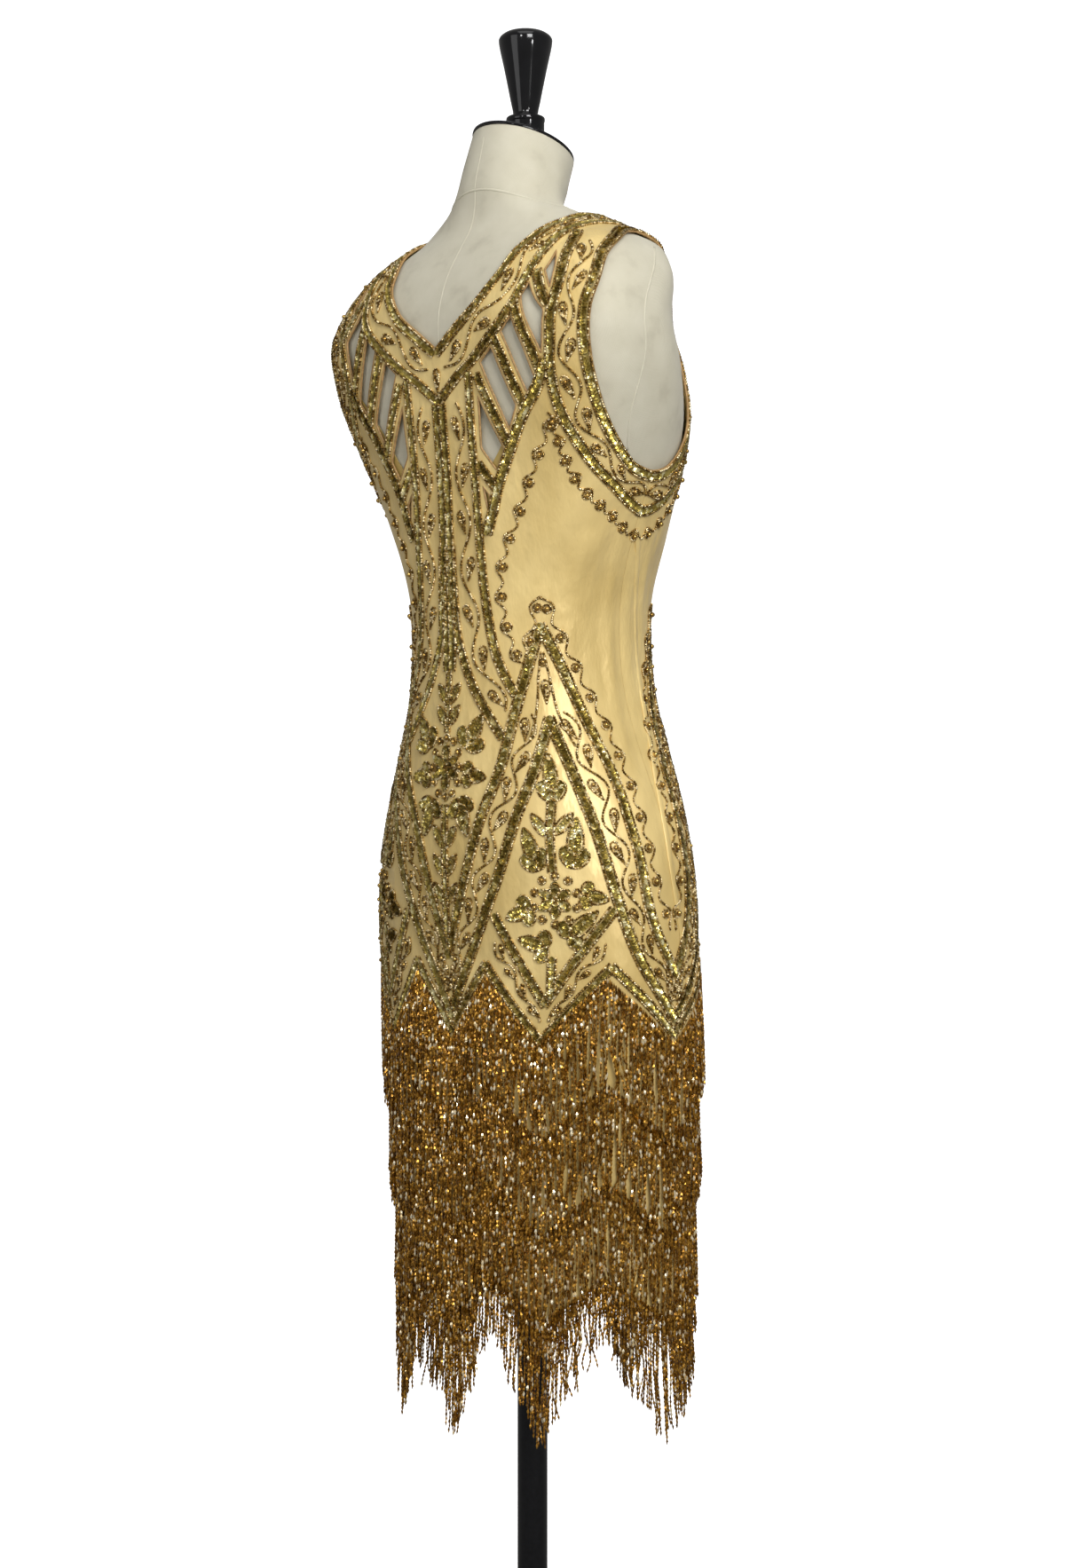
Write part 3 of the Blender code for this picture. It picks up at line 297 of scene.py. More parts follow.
# Sprays: where each group of petals starts, in metres from the spray's centre, and its sizes
Petals = namedtuple("Petals", "x y heading length width lobe lobe_width spread ahead")
DIAMOND_SPRAY = [
    Petals(-0.0156, 0.0266, 110.0, 0.030, 0.0140, 0.0200, 0.0128, 34.0, 0.010),
    Petals(0.0169, 0.0290, 82.0, 0.035, 0.0150, 0.0200, 0.0128, 34.0, 0.010),
    Petals(-0.0240, -0.0080, 200.0, 0.024, 0.0130, 0.0150, 0.0125, 60.0, 0.003),
    Petals(0.0250, 0.0050, -12.0, 0.020, 0.0120, 0.0130, 0.0110, 65.0, 0.003),
    Petals(-0.0090, -0.0420, 166.0, 0.026, 0.0130, 0.0150, 0.0125, 68.0, 0.003),
    Petals(0.0115, -0.0330, 42.0, 0.032, 0.0140, 0.0150, 0.0125, 75.0, 0.003),
    Petals(0.0010, 0.0880, 92.0, 0.033, 0.0130, 0.0200, 0.0128, 34.0, 0.010),
]
CENTRE_SPRAY = [
    Petals(0.0250, 0.0180, 60.0, 0.029, 0.0150, 0.0200, 0.0135, 50.0, 0.005),
    Petals(0.0240, -0.0060, -8.0, 0.021, 0.0130, 0.0125, 0.0110, 62.0, 0.003),
    Petals(0.0170, -0.0290, -72.0, 0.030, 0.0150, 0.0190, 0.0130, 50.0, 0.005),
]

# Ridge over the side seam
WELT = [
    (94.0, 1.100), (103.0, 1.051), (106.0, 1.003), (104.5, 0.946), (99.0, 0.897), (94.5, 0.849),
    (92.0, 0.793), (94.0, 0.737), (97.0, 0.689),
]

# Fringe: each tier's zigzag of 45 degrees, its strands and their lengths
ZIGZAG_PERIOD = 45.0
Tier = namedtuple("Tier", "name node low high low_length high_length")
TIERS = [
    Tier("bead_strands_1", "fringe_tier_1", 0.640, 0.700, 0.100, 0.096),
    Tier("bead_strands_2", "fringe_tier_2", 0.552, 0.606, 0.098, 0.094),
    Tier("bead_strands_3", "fringe_tier_3", 0.468, 0.518, 0.104, 0.098),
    Tier("bead_strands_4", "fringe_tier_4", 0.392, 0.432, 0.112, 0.050),
]
STRANDS = 560
STRAND_PITCH = 0.0038
STRAND_WIDTH = 0.0025
STRAND_LENGTH = 1.80
STRAND_SPARKLE = 0.10
ROOT_LIFT = 0.0020
TIP_LIFT = 0.0062
HEM_BELOW_ROOT = 0.006

# Soft folds of the satin: place, half width in degrees, half height, depth, lean in degrees a metre
Fold = namedtuple("Fold", "around level wide tall depth lean")
FOLDS = [
    Fold(86.0, 0.985, 2.6, 0.110, 0.0022, 6.0),
    Fold(98.5, 0.960, 2.2, 0.160, 0.0026, -14.0),
    Fold(104.0, 0.930, 2.4, 0.140, 0.0020, -22.0),
    Fold(110.0, 1.040, 3.0, 0.070, 0.0018, -60.0),
    Fold(72.0, 1.080, 5.5, 0.026, 0.0020, 240.0),
    Fold(62.0, 1.105, 5.0, 0.030, 0.0018, 200.0),
    Fold(58.0, 1.060, 6.0, 0.034, -0.0010, 160.0),
    Fold(80.0, 1.060, 3.4, 0.050, -0.0010, 60.0),
    Fold(40.0, 0.995, 4.0, 0.024, 0.0010, -240.0),
    Fold(-62.0, 1.050, 3.6, 0.080, 0.0014, 20.0),
    Fold(-72.0, 1.000, 2.8, 0.090, 0.0014, 24.0),
    Fold(-90.0, 1.000, 2.4, 0.140, 0.0016, 10.0),
    Fold(-100.0, 0.960, 2.6, 0.150, 0.0018, 16.0),
    Fold(135.0, 1.080, 6.0, 0.060, 0.0014, -120.0),
    Fold(160.0, 1.020, 7.0, 0.060, 0.0012, -60.0),
    Fold(-130.0, 1.090, 6.0, 0.050, 0.0014, 130.0),
    Fold(-165.0, 1.040, 6.0, 0.060, 0.0012, 60.0),
]

# Colours as places on a ramp, and the finishes of beads, sequins and cord with their cells a metre; the
# brightest stops of sequins and seed beads are painted highlights
LINEN_STOPS = [(0.25, (0.475, 0.44, 0.335)), (0.42, (0.56, 0.525, 0.405)), (0.75, (0.61, 0.575, 0.455))]
# Sequin colours: tone that differs sequin to sequin, and at the top stop painted silver-white highlights
SEQUIN_TONE_AND_GLINT_STOPS = [
    (0.20, (0.20, 0.135, 0.020)), (0.50, (0.38, 0.275, 0.055)),
    (0.64, (0.62, 0.490, 0.140)), (0.76, (0.95, 0.860, 0.500)),
]
# Seed bead colours: dark to mid gold that differs bead to bead, and at the top stop painted highlights on
# single beads
SEED_TONE_AND_GLINT_STOPS = [
    (0.26, (0.13, 0.070, 0.014)), (0.46, (0.30, 0.180, 0.044)),
    (0.66, (0.46, 0.300, 0.090)), (0.78, (0.96, 0.800, 0.480)),
]
PEARL_STOPS = [(0.25, (0.40, 0.235, 0.055)), (0.80, (0.62, 0.415, 0.130))]
STRAND_STOPS = [(0.10, (0.14, 0.058, 0.004)), (0.55, (0.29, 0.130, 0.010)), (0.92, (0.50, 0.260, 0.034))]
SPARKLE_STOPS = [(0.2, (0.80, 0.600, 0.300)), (0.8, (0.99, 0.900, 0.680))]
CORD_STOPS = [(0.2, (0.30, 0.175, 0.060)), (0.8, (0.43, 0.260, 0.100))]
Metal = namedtuple("Metal", "name stops scale roughness metallic patches")
METALS = {
    # The sequins' last value mixes wide noise patches toward the top stop: painted glints
    "sequins": Metal("sequin_tone_and_painted_glints", SEQUIN_TONE_AND_GLINT_STOPS, 300.0, 0.27, 0.80, 0.45),
    "seeds": Metal("seed_bead_tone_and_painted_glints", SEED_TONE_AND_GLINT_STOPS, 430.0, 0.28, 0.92, 0.0),
    "pearls": Metal("pearl_finish", PEARL_STOPS, 200.0, 0.16, 0.90, 0.0),
    "strands": Metal("strand_finish", STRAND_STOPS, 420.0, 0.26, 0.70, 0.0),
    "sparkle": Metal("sparkle_finish", SPARKLE_STOPS, 420.0, 0.16, 0.60, 0.0),
    "cord": Metal("cord_finish", CORD_STOPS, 500.0, 0.55, 0.0, 0.0),
}


# The gown's surface


def column(rows, name, at):
    """Values of one column at many levels, by a smooth curve through the rows."""
    keys = np.array([row[0] for row in rows])
    values = np.array([getattr(row, name) for row in rows])
    steps = np.diff(keys)
    rates = np.diff(values) / steps
    slopes = np.empty_like(values)
    slopes[0] = rates[0]
    slopes[-1] = rates[-1]
    slopes[1:-1] = (rates[:-1] * steps[1:] + rates[1:] * steps[:-1]) / (steps[1:] + steps[:-1])
    index = np.clip(np.searchsorted(keys, at, side="right") - 1, 0, len(keys) - 2)
    span = steps[index]
    t = (at - keys[index]) / span
    start = (2 * t**3 - 3 * t**2 + 1) * values[index] + (t**3 - 2 * t**2 + t) * span * slopes[index]
    end = (3 * t**2 - 2 * t**3) * values[index + 1] + (t**3 - t**2) * span * slopes[index + 1]
    return start + end


def face(around, level):
    """Points of the plain gown surface; below the lowest level it hangs straight down."""
    around, level = np.broadcast_arrays(np.asarray(around, float), np.asarray(level, float))
    held = np.maximum(level, LOWEST_LEVEL)
    row = {name: column(LEVELS, name, held) for name in Level._fields[1:]}
    c = np.cos(np.radians(around))
    s = np.sin(np.radians(around))
    at_back = c >= 0.0
    depth = np.where(at_back, row["y_back"] - row["y_side"], row["y_side"] - row["y_front"])
    power = np.where(at_back, row["square_back"], row["square_front"])
    reach = ((np.abs(s) / row["half_width"]) ** power + (np.abs(c) / depth) ** power) ** (-1.0 / power)
    lean = np.where(at_back, row["z_back"] - row["z_side"], row["z_front"] - row["z_side"])
    flat = np.clip((held - PLANE_TOP_FROM) / (NECK_TOP - PLANE_TOP_FROM), 0.0, 1.0)
    z = row["z_side"] + lean * np.abs(c) ** (2.0 - flat) + (level - held)
    return np.stack((-reach * s, row["y_side"] + reach * c, z), axis=-1)


def unit(vectors):
    """The same vectors, one long."""
    return vectors / np.maximum(np.linalg.norm(vectors, axis=-1, keepdims=True), 1e-12)


def outward(around, level):
    """Outward directions of the surface."""
    level = np.asarray(level, float)
    turn = face(np.asarray(around) + 0.4, level) - face(np.asarray(around) - 0.4, level)
    rise = face(around, level + 0.0015) - face(around, level - 0.0015)
    return unit(np.cross(turn, rise))


def folds(around, level):
    """How far the soft folds push the cloth out."""
    total = np.zeros(np.broadcast(around, level).shape)
    for fold in FOLDS:
        above = level - fold.level
        across = (around - fold.around - fold.lean * above + 180.0) % 360.0 - 180.0
        total = total + fold.depth * np.exp(-((across / fold.wide) ** 2) - (above / fold.tall) ** 2)
    return total


def cloth(around, level, out=0.0):
    """Points at a distance off the draped cloth's face."""
    push = np.asarray(out) + folds(np.asarray(around, float), np.asarray(level, float))
    return face(around, level) + outward(around, level) * push[..., None]


def spans(around, level):
    """Metres on the surface for one degree and for one unit of level."""
    around = np.asarray(around, float)
    level = np.asarray(level, float)
    wide = np.linalg.norm(face(around + 0.5, level) - face(around - 0.5, level), axis=-1)
    tall = np.linalg.norm(face(around, level + 0.002) - face(around, level - 0.002), axis=-1) / 0.004
    return wide, tall


# Lines on the pattern


def curve(marks, parts=12):
    """Places on a smooth curve through the marks."""
    rows = np.array(marks, float)
    if len(rows) == 2:
        return straight(marks)
    padded = np.vstack((rows[:1], rows, rows[-1:]))
    t = np.arange(parts)[:, None] / parts
    weights = (
        -0.5 * t**3 + t**2 - 0.5 * t,
        1.5 * t**3 - 2.5 * t**2 + 1,
        -1.5 * t**3 + 2 * t**2 + 0.5 * t,
        0.5 * t**3 - 0.5 * t**2,
    )
    pieces = []
    for k in range(len(rows) - 1):
        pieces.append(sum(w * padded[k + j] for j, w in enumerate(weights)))
    return np.vstack(pieces + [rows[-1:]])


def straight(marks, parts=12):
    """Places on straight pattern lines between the marks."""
    rows = np.array(marks, float)
    t = np.arange(parts)[:, None] / parts
    pieces = [a + (b - a) * t for a, b in zip(rows[:-1], rows[1:])]
    return np.vstack(pieces + [rows[-1:]])


def sampled(line, keys, wanted):
    """The line's places at wanted keys."""
    return np.stack([np.interp(wanted, keys, line[:, j]) for j in (0, 1)], axis=1)


def spread(line, pitch, count=None):
    """Places along a line, one pitch apart or a given count of them."""
    points = face(line[:, 0], line[:, 1])
    lengths = np.concatenate(([0.0], np.cumsum(np.linalg.norm(np.diff(points, axis=0), axis=1))))
    if count is None:
        count = max(1, int(round(lengths[-1] / pitch))) + 1
    return sampled(line, lengths, np.linspace(0.0, lengths[-1], count))


def beside(line, distance):
    """The line shifted sideways on the cloth, to the left of its direction when positive."""
    wide, tall = spans(line[:, 0], line[:, 1])
    ahead = unit(np.gradient(line, axis=0) * np.stack((wide, tall), axis=1))
    shift = np.stack((-ahead[:, 1] / wide, ahead[:, 0] / tall), axis=1)
    return line + shift * np.asarray(distance).reshape(-1, 1)


def zigzag(tier, around):
    """Height of a tier's root line."""
    phase = (np.asarray(around) % ZIGZAG_PERIOD) / ZIGZAG_PERIOD
    return tier.low + (tier.high - tier.low) * (1.0 - np.abs(2.0 * phase - 1.0))


# Strokes of the beading


class Drawing:
    """Strokes of sewn beads and sequins on part of the pattern."""

    def __init__(self):
        self.strokes = []

    def seeds(self, line, size=SEED):
        """A row of seed beads."""
        self.strokes.append(("seeds", np.asarray(line, float), size))

    def sequins(self, line, width=ROW_WIDTH):
        """A row of overlapping cup sequins."""
        self.strokes.append(("sequins", np.asarray(line, float), width))

    def pearl(self, place, size=PEARL):
        """One pearl."""
        self.strokes.append(("pearl", np.asarray([place], float), size))

    def row(self, line, width=ROW_WIDTH, beaded=(-1, 1)):
        """Sequins with a row of seed beads on either side."""
        self.sequins(line, width)
        for side in beaded:
            self.seeds(beside(line, side * (0.5 * width + 0.55 * SEED)))

    def local(self, place, heading, xy):
        """Pattern places of a small shape drawn in metres round a place, turned by a heading."""
        wide, tall = spans(place[0], place[1])
        turn = math.radians(heading)
        x = xy[:, 0] * math.cos(turn) - xy[:, 1] * math.sin(turn)
        y = xy[:, 0] * math.sin(turn) + xy[:, 1] * math.cos(turn)
        return np.stack((place[0] + x / wide, place[1] + y / tall), axis=1)

    def spot(self, place, heading, x, y=0.0):
        """One place at an offset in metres from another."""
        return self.local(place, heading, np.array([[x, y]]))[0]

    def leaf(self, place, heading, length=LEAF_LENGTH, width=LEAF_WIDTH):
        """Two beaded teardrops and a pearl on their round end; the heading points to that end."""
        self.seeds(self.local(place, heading, teardrop(length, width)), FINE_SEED)
        self.seeds(self.local(place, heading, teardrop(0.60 * length, 0.42 * width)), FINER_SEED)
        self.pearl(self.spot(place, heading, 0.22 * length), LEAF_PEARL)

    def petal(self, place, heading, length, width, root=0.5, tip=0.5):
        """Beaded outline filled with lanes of sequins; it grows from its place along the heading."""
        share = np.linspace(0.0, 1.0, 61)
        half = 0.5 * width * swell(share, root, tip)
        rim = np.stack((length * share, half), axis=1)
        rim = np.vstack((rim, rim[::-1] * (1.0, -1.0)))
        self.seeds(self.local(place, heading, rim), FINE_SEED)
        inner = width - 2.0 * SEED
        lanes = max(1, int(round(inner / LANE_WIDTH)))
        for k in range(lanes):
            off = (k - 0.5 * (lanes - 1)) * inner / lanes
            inside = share[half > abs(off) + 0.9 * SEED]
            if len(inside) > 4:
                lane = straight([(length * inside[0], off), (length * inside[-1], off)], 7)
                self.sequins(self.local(place, heading, lane), 1.35 * inner / lanes)

    def floweret(self, place, size=PEARL):
        """Pearl in a ring of seed beads."""
        self.pearl(place, size)
        turn = np.radians(np.linspace(0.0, 360.0, 19))
        ring = np.stack((np.cos(turn), np.sin(turn)), axis=1) * (0.5 * size + 0.55 * SEED)
        self.seeds(self.local(place, 0.0, ring), FINER_SEED)

    def vine(self, one, other, leaves, size=1.0, first=1.0):
        """Wavy stem between two lines with a leaf in each hollow."""
        one = spread(one, None, VINE_PLACES)
        other = nearest(one, other)
        share = np.linspace(0.0, 1.0, 12 * leaves + 1)
        keys = np.linspace(0.0, 1.0, len(one))
        low = sampled(one, keys, share)
        high = sampled(other, keys, share)
        swing = first * np.sin(math.pi * leaves * share)
        stem = low + (high - low) * (0.5 + 0.30 * swing)[:, None]
        self.seeds(stem)
        for k in range(leaves):
            near = 12 * k + 6
            side = math.copysign(1.0, swing[near])
            place = low[near] + (high[near] - low[near]) * (0.5 - 0.13 * side)
            wide, tall = spans(place[0], place[1])
            ahead = (low[near + 3] - low[near - 3] + high[near + 3] - high[near - 3]) * (wide, tall)
            across = (high[near] - low[near]) * (wide, tall)
            turn = math.degrees(math.atan2(ahead[1], ahead[0]))
            handed = math.copysign(1.0, ahead[0] * across[1] - ahead[1] * across[0])
            if ahead[1] < 0.0:
                turn += 180.0
                handed = -handed
            room = float(np.linalg.norm(across))
            scale = size * min(1.0, max(0.70, room / 0.024))
            self.leaf(place, turn - 16.0 * handed * side, LEAF_LENGTH * scale, LEAF_WIDTH * scale)

    def scallop(self, line, waves, side, flower=PEARL):
        """Small waves of beads with a floweret outside each."""
        dense = spread(line, 0.0012)
        share = np.linspace(0.0, 1.0, len(dense))
        swing = SCALLOP_SWING * np.cos(2 * math.pi * waves * share)
        self.seeds(beside(dense, side * swing), FINE_SEED)
        for k in range(waves):
            near = int(round((k + 0.5) / waves * (len(dense) - 1)))
            outer = beside(dense, side * 0.0026)[near]
            self.floweret(outer, flower)


def nearest(one, other):
    """The places of the other line that lie closest to those of the first."""
    fine = spread(other, 0.002)
    away = face(one[:, 0], one[:, 1])[:, None, :] - face(fine[:, 0], fine[:, 1])[None, :, :]
    found = fine[np.linalg.norm(away, axis=2).argmin(axis=1)]
    smooth = found.copy()
    smooth[1:-1] = (found[:-2] + found[1:-1] + found[2:]) / 3.0
    return smooth


def teardrop(length, width):
    """Closed outline about its middle, pointed at -x and round at +x."""
    t = np.linspace(0.0, 2 * math.pi, 33)
    x = -0.5 * length * np.cos(t)
    y = 0.62 * width * np.sin(t) * np.abs(np.sin(0.5 * t)) ** 1.6
    return np.stack((x, y), axis=1)


def swell(share, root, tip):
    """Width along a petal, one at its widest; a power of a half is round, one is pointed."""
    peak = root / (root + tip)
    return share**root * (1.0 - share) ** tip / (peak**root * (1.0 - peak) ** tip)


def draw_neck(back):
    """Neckline rows and the vine between them, from the centre to the shoulder and on."""
    sketch = Drawing()
    edge = curve(BACK_NECK_EDGE) if back else curve(FRONT_NECK_EDGE)
    line = curve(BACK_NECK_LINE) if back else curve(FRONT_NECK_LINE)
    inner = beside(edge, -EDGE_INSET)
    sketch.row(inner, NECK_EDGE_WIDTH)
    sketch.row(line, NECK_LINE_WIDTH)
    sketch.vine(beside(inner, -VINE_INSET), beside(line, VINE_INSET), 6 if back else 7)
    if back:
        sketch.leaf((0.0, 1.236), 90.0, 0.020, 0.0085)
    return sketch


def draw_arm(back):
    """Armhole rows and vine of one side."""
    sketch = Drawing()
    edge = curve(BACK_ARM_EDGE) if back else curve(FRONT_ARM_EDGE)
    line = curve(BACK_ARM_LINE) if back else curve(FRONT_ARM_LINE)
    inner = beside(edge, -EDGE_INSET)
    sketch.row(inner, ARM_WIDTH)
    upper = np.array([ARM_LINE_START]) if back else line[:0]
    sketch.row(np.vstack((upper, line)), ARM_WIDTH)
    sketch.vine(beside(line, VINE_INSET), beside(inner, -VINE_INSET), 9 if back else 8)
    return sketch


def draw_back_half():
    """Lattice, columns and scalloped lines of the back's right half."""
    sketch = Drawing()
    for bar in LATTICE_BARS:
        sketch.row(straight(bar), BAR_WIDTH)
    sketch.row(curve(LATTICE_FOOT), FOOT_WIDTH)
    column_line = curve(COLUMN_LINE)
    sketch.row(column_line, COLUMN_WIDTH)
    sketch.row(curve(BRANCH_LINE), BRANCH_WIDTH)
    sketch.row(curve(BESIDE_CENTRE), CENTRE_WIDTH, (1,))
    sketch.vine(curve(CENTRE_SIDE), beside(column_line, -VINE_INSET), 7)
    sketch.scallop(curve(SCALLOP_BACK), 9, 1)
    return sketch


def petal_pairs(sketch, levels, below, headings, length, width):
    """Pointed petals on either side of the centre line, a pair for each level."""
    for level in levels:
        for heading in headings:
            sketch.petal((0.0, level - below), heading, length, width, 0.8, 0.9)


def draw_centre():
    """Rows and sprays on the centre back line, drawn once."""
    sketch = Drawing()
    sketch.seeds(straight([(0.0, 1.214), (0.0, 0.972)]))
    petal_pairs(sketch, (0.953, 0.933), 0.010, (128.0, 52.0), 0.023, 0.0100)
    sketch.row(straight([(0.0, 0.972), (0.0, 0.918)]), 0.0030)
    centre = (0.0, 0.885)
    spray_flower(sketch, centre, 0.018, 0.027, 12)
    for petals in CENTRE_SPRAY:
        cluster(sketch, centre, petals)
        cluster(sketch, centre, petals._replace(x=-petals.x, heading=180.0 - petals.heading))
    sketch.row(straight([(0.0, 0.850), (0.0, 0.732)]), 0.0040)
    petal_pairs(sketch, (0.826, 0.800, 0.774), 0.014, (126.0, 54.0), 0.025, 0.0105)
    return sketch


def spray_flower(sketch, place, half_width, half_height, count):
    """Ring of flowerets round a few sequin petals."""
    for k in range(count):
        turn = math.radians(360.0 * k / count + 90.0)
        offset = (half_width * math.cos(turn), half_height * math.sin(turn))
        sketch.floweret(sketch.spot(place, 0.0, *offset), 0.0043)
    for heading in (90.0, 150.0, 210.0, 270.0, 330.0, 30.0):
        start = sketch.spot(place, heading, 0.0010)
        longer = 1.0 + (half_height / half_width - 1.0) * abs(math.sin(math.radians(heading)))
        sketch.petal(start, heading, 0.0130 * longer, 0.0096, 0.8, 0.5)


def cluster(sketch, centre, petals):
    """A long petal with a round lobe on either side, all from one point."""
    start = sketch.spot(centre, 0.0, petals.x, petals.y)
    onward = sketch.spot(start, petals.heading, petals.ahead)
    sketch.petal(onward, petals.heading, petals.length, petals.width, 0.5, 0.85)
    for side in (-1, 1):
        heading = petals.heading + side * petals.spread
        sketch.petal(start, heading, petals.lobe, petals.lobe_width, 0.6, 0.5)


def draw_quarter():
    """Chevrons, diamond and sprays of one quarter of the skirt."""
    sketch = Drawing()
    outer_left = curve(OUTER_LEFT)
    outer_right = curve(OUTER_RIGHT)
    inner_left = curve(INNER_LEFT)
    inner_right = curve(INNER_RIGHT)
    for line in (outer_left, outer_right, inner_left, inner_right):
        sketch.row(line)
    sketch.row(straight(DIAMOND_V[:2]), DIAMOND_WIDTH)
    sketch.row(straight(DIAMOND_V[1:]), DIAMOND_WIDTH)
    sketch.vine(beside(inner_left, VINE_INSET), beside(outer_left, -VINE_INSET), 10)
    sketch.vine(beside(inner_right, VINE_INSET), beside(outer_right, -VINE_INSET), 10)
    sketch.seeds(curve(APEX_STEM_LEFT))
    sketch.seeds(curve(APEX_STEM_RIGHT))
    sketch.leaf((52.2, 0.953), 90.0)
    sketch.floweret((51.2, 0.979), 0.0042)
    for upper, lower in DIAMOND_VINES:
        sketch.vine(straight(upper), straight(lower), 4, 0.8)
    for start, end in zip(HIP_LINE[:-1], HIP_LINE[1:]):
        sketch.row(straight([start, end]), HIP_WIDTH)
    sketch.scallop(curve(SCALLOP_PEAK), 13, -1)
    centre = (52.0, 0.767)
    spray_flower(sketch, centre, 0.0205, 0.0215, 10)
    for petals in DIAMOND_SPRAY:
        cluster(sketch, centre, petals)
    stem = sketch.local(centre, 0.0, np.array([[-0.002, 0.026], [-0.003, 0.056], [0.000, 0.086]]))
    sketch.row(curve(stem), 0.0048)
    for x, y, heading in ((-0.005, 0.056, 127.0), (0.001, 0.058, 47.0)):
        sketch.petal(sketch.spot(centre, 0.0, x, y), heading, 0.026, 0.0100, 0.8, 0.9)
    foot = sketch.local(centre, 0.0, np.array([[-0.004, -0.052], [-0.006, -0.086]]))
    sketch.row(straight(foot), 0.0046)
    return sketch


# Making the sewn pieces


def circle(sides):
    """Cosines and sines of even turns."""
    turn = np.radians(np.arange(sides) * 360.0 / sides)
    return np.cos(turn), np.sin(turn)


def bead_shape(sides):
    """Bead as two cones joined at their rims, its thread along x."""
    c, s = circle(sides)
    rim = np.stack((np.zeros(sides), 0.5 * c, 0.5 * s), axis=1)
    points = np.vstack(([[-0.5, 0.0, 0.0], [0.5, 0.0, 0.0]], rim))
    faces = []
    for k in range(sides):
        a = 2 + k
        b = 2 + (k + 1) % sides
        faces.append((0, b, a))
        faces.append((1, a, b))
    return points, np.array(faces)


def sequin_shape(sides=8):
    """Cup sequin: a shallow facetted cone, open upwards."""
    c, s = circle(sides)
    rim = np.stack((0.5 * c, 0.5 * s, np.zeros(sides)), axis=1)
    points = np.vstack(([[0.0, 0.0, -0.15]], rim))
    faces = [(0, 1 + k, 1 + (k + 1) % sides) for k in range(sides)]
    return points, np.array(faces)


def pearl_shape(sides=10, rings=5):
    """Round bead as a ball."""
    points = [(0.0, 0.0, -0.5)]
    for r in range(1, rings):
        tilt = math.pi * r / rings
        for k in range(sides):
            turn = 2 * math.pi * k / sides
            points.append((
                0.5 * math.sin(tilt) * math.cos(turn),
                0.5 * math.sin(tilt) * math.sin(turn),
                -0.5 * math.cos(tilt),
            ))
    points.append((0.0, 0.0, 0.5))
    top = len(points) - 1
    faces = []
    for k in range(sides):
        n = (k + 1) % sides
        faces.append((0, 1 + n, 1 + k))
        faces.append((top, top - sides + k, top - sides + n))
        for r in range(rings - 2):
            a = 1 + r * sides
            b = a + sides
            faces.append((a + k, a + n, b + n))
            faces.append((a + k, b + n, b + k))
    return np.array(points), np.array(faces)


def frames_along(line, lift):
    """Places on the cloth with their ahead, side and up directions."""
    around = line[:, 0]
    level = line[:, 1]
    up = outward(around, level)
    places = cloth(around, level, lift)
    if len(line) > 1:
        ahead = np.gradient(places, axis=0)
    else:
        ahead = face(around + 1.0, level) - face(around, level)
    side = unit(np.cross(up, ahead))
    ahead = np.cross(side, up)
    return places, ahead, side, up


def stamped(shape, places, ahead, side, up, size):
    """Copies of a shape at many places, as one list of points and faces."""
    points, faces = shape
    size = np.broadcast_to(np.asarray(size, float), (len(places), 3))
    scaled = points[None, :, :] * size[:, None, :]
    axes = np.stack((ahead, side, up), axis=1)
    placed = np.einsum("kpi,kij->kpj", scaled, axes) + places[:, None, :]
    step = np.arange(len(places))[:, None, None] * len(points)
    return placed.reshape(-1, 3), (faces[None, :, :] + step).reshape(-1, 3)


class Box:
    """Sewn pieces of one kind, kept apart by the panel that they lie on."""

    def __init__(self):
        self.points = {"back": [], "front": []}
        self.faces = {"back": [], "front": []}
        self.count = {"back": 0, "front": 0}

    def add(self, around, points, faces):
        """Put a stroke's pieces on the panel where its middle lies."""
        middle = abs((float(np.mean(around)) + 180.0) % 360.0 - 180.0)
        panel = "back" if middle <= SEAM_AROUND else "front"
        self.points[panel].append(points)
        self.faces[panel].append(faces + self.count[panel])
        self.count[panel] += len(points)


SEED_SHAPE = bead_shape(5)
SEQUIN_SHAPE = sequin_shape()
PEARL_SHAPE = pearl_shape()


def sew(sketch, turn, boxes):
    """Sew a drawing on, its places turned to where it repeats."""
    for kind, line, size in sketch.strokes:
        line = turn(line)
        if kind == "seeds":
            places = spread(line, SEED_PITCH * size / SEED)
            at, ahead, side, up = frames_along(places, 0.46 * size)
            scale = random.uniform(0.92, 1.08, (len(at), 1))
            sizes = size * np.array([SEED_LENGTH, SEED_GIRTH, SEED_GIRTH]) * scale
            boxes["seeds"].add(places[:, 0], *stamped(SEED_SHAPE, at, ahead, side, up, sizes))
        elif kind == "sequins":
            places = spread(line, SEQUIN_PITCH)
            at, ahead, side, up = frames_along(places, 0.0016)
            tilt = np.radians(SEQUIN_TILT + random.uniform(-12.0, 12.0, (len(at), 1)))
            roll = np.radians(random.uniform(-14.0, 14.0, (len(at), 1)))
            lean = ahead * np.cos(tilt) + up * np.sin(tilt)
            rise = up * np.cos(tilt) - ahead * np.sin(tilt)
            rise = unit(rise + side * np.tan(roll))
            across = unit(np.cross(rise, lean))
            sizes = size * np.array([0.94, 1.0, 1.0]) * random.uniform(0.96, 1.04, (len(at), 1))
            boxes["sequins"].add(places[:, 0], *stamped(SEQUIN_SHAPE, at, unit(lean), across, rise, sizes))
        else:
            at, ahead, side, up = frames_along(line, 0.45 * size)
            boxes["pearls"].add(line[:, 0], *stamped(PEARL_SHAPE, at, unit(ahead), side, up, size))


def same(line):
    """The right back as drawn."""
    return line


def to_left(line):
    """The wearer's left."""
    return line * (-1.0, 1.0)


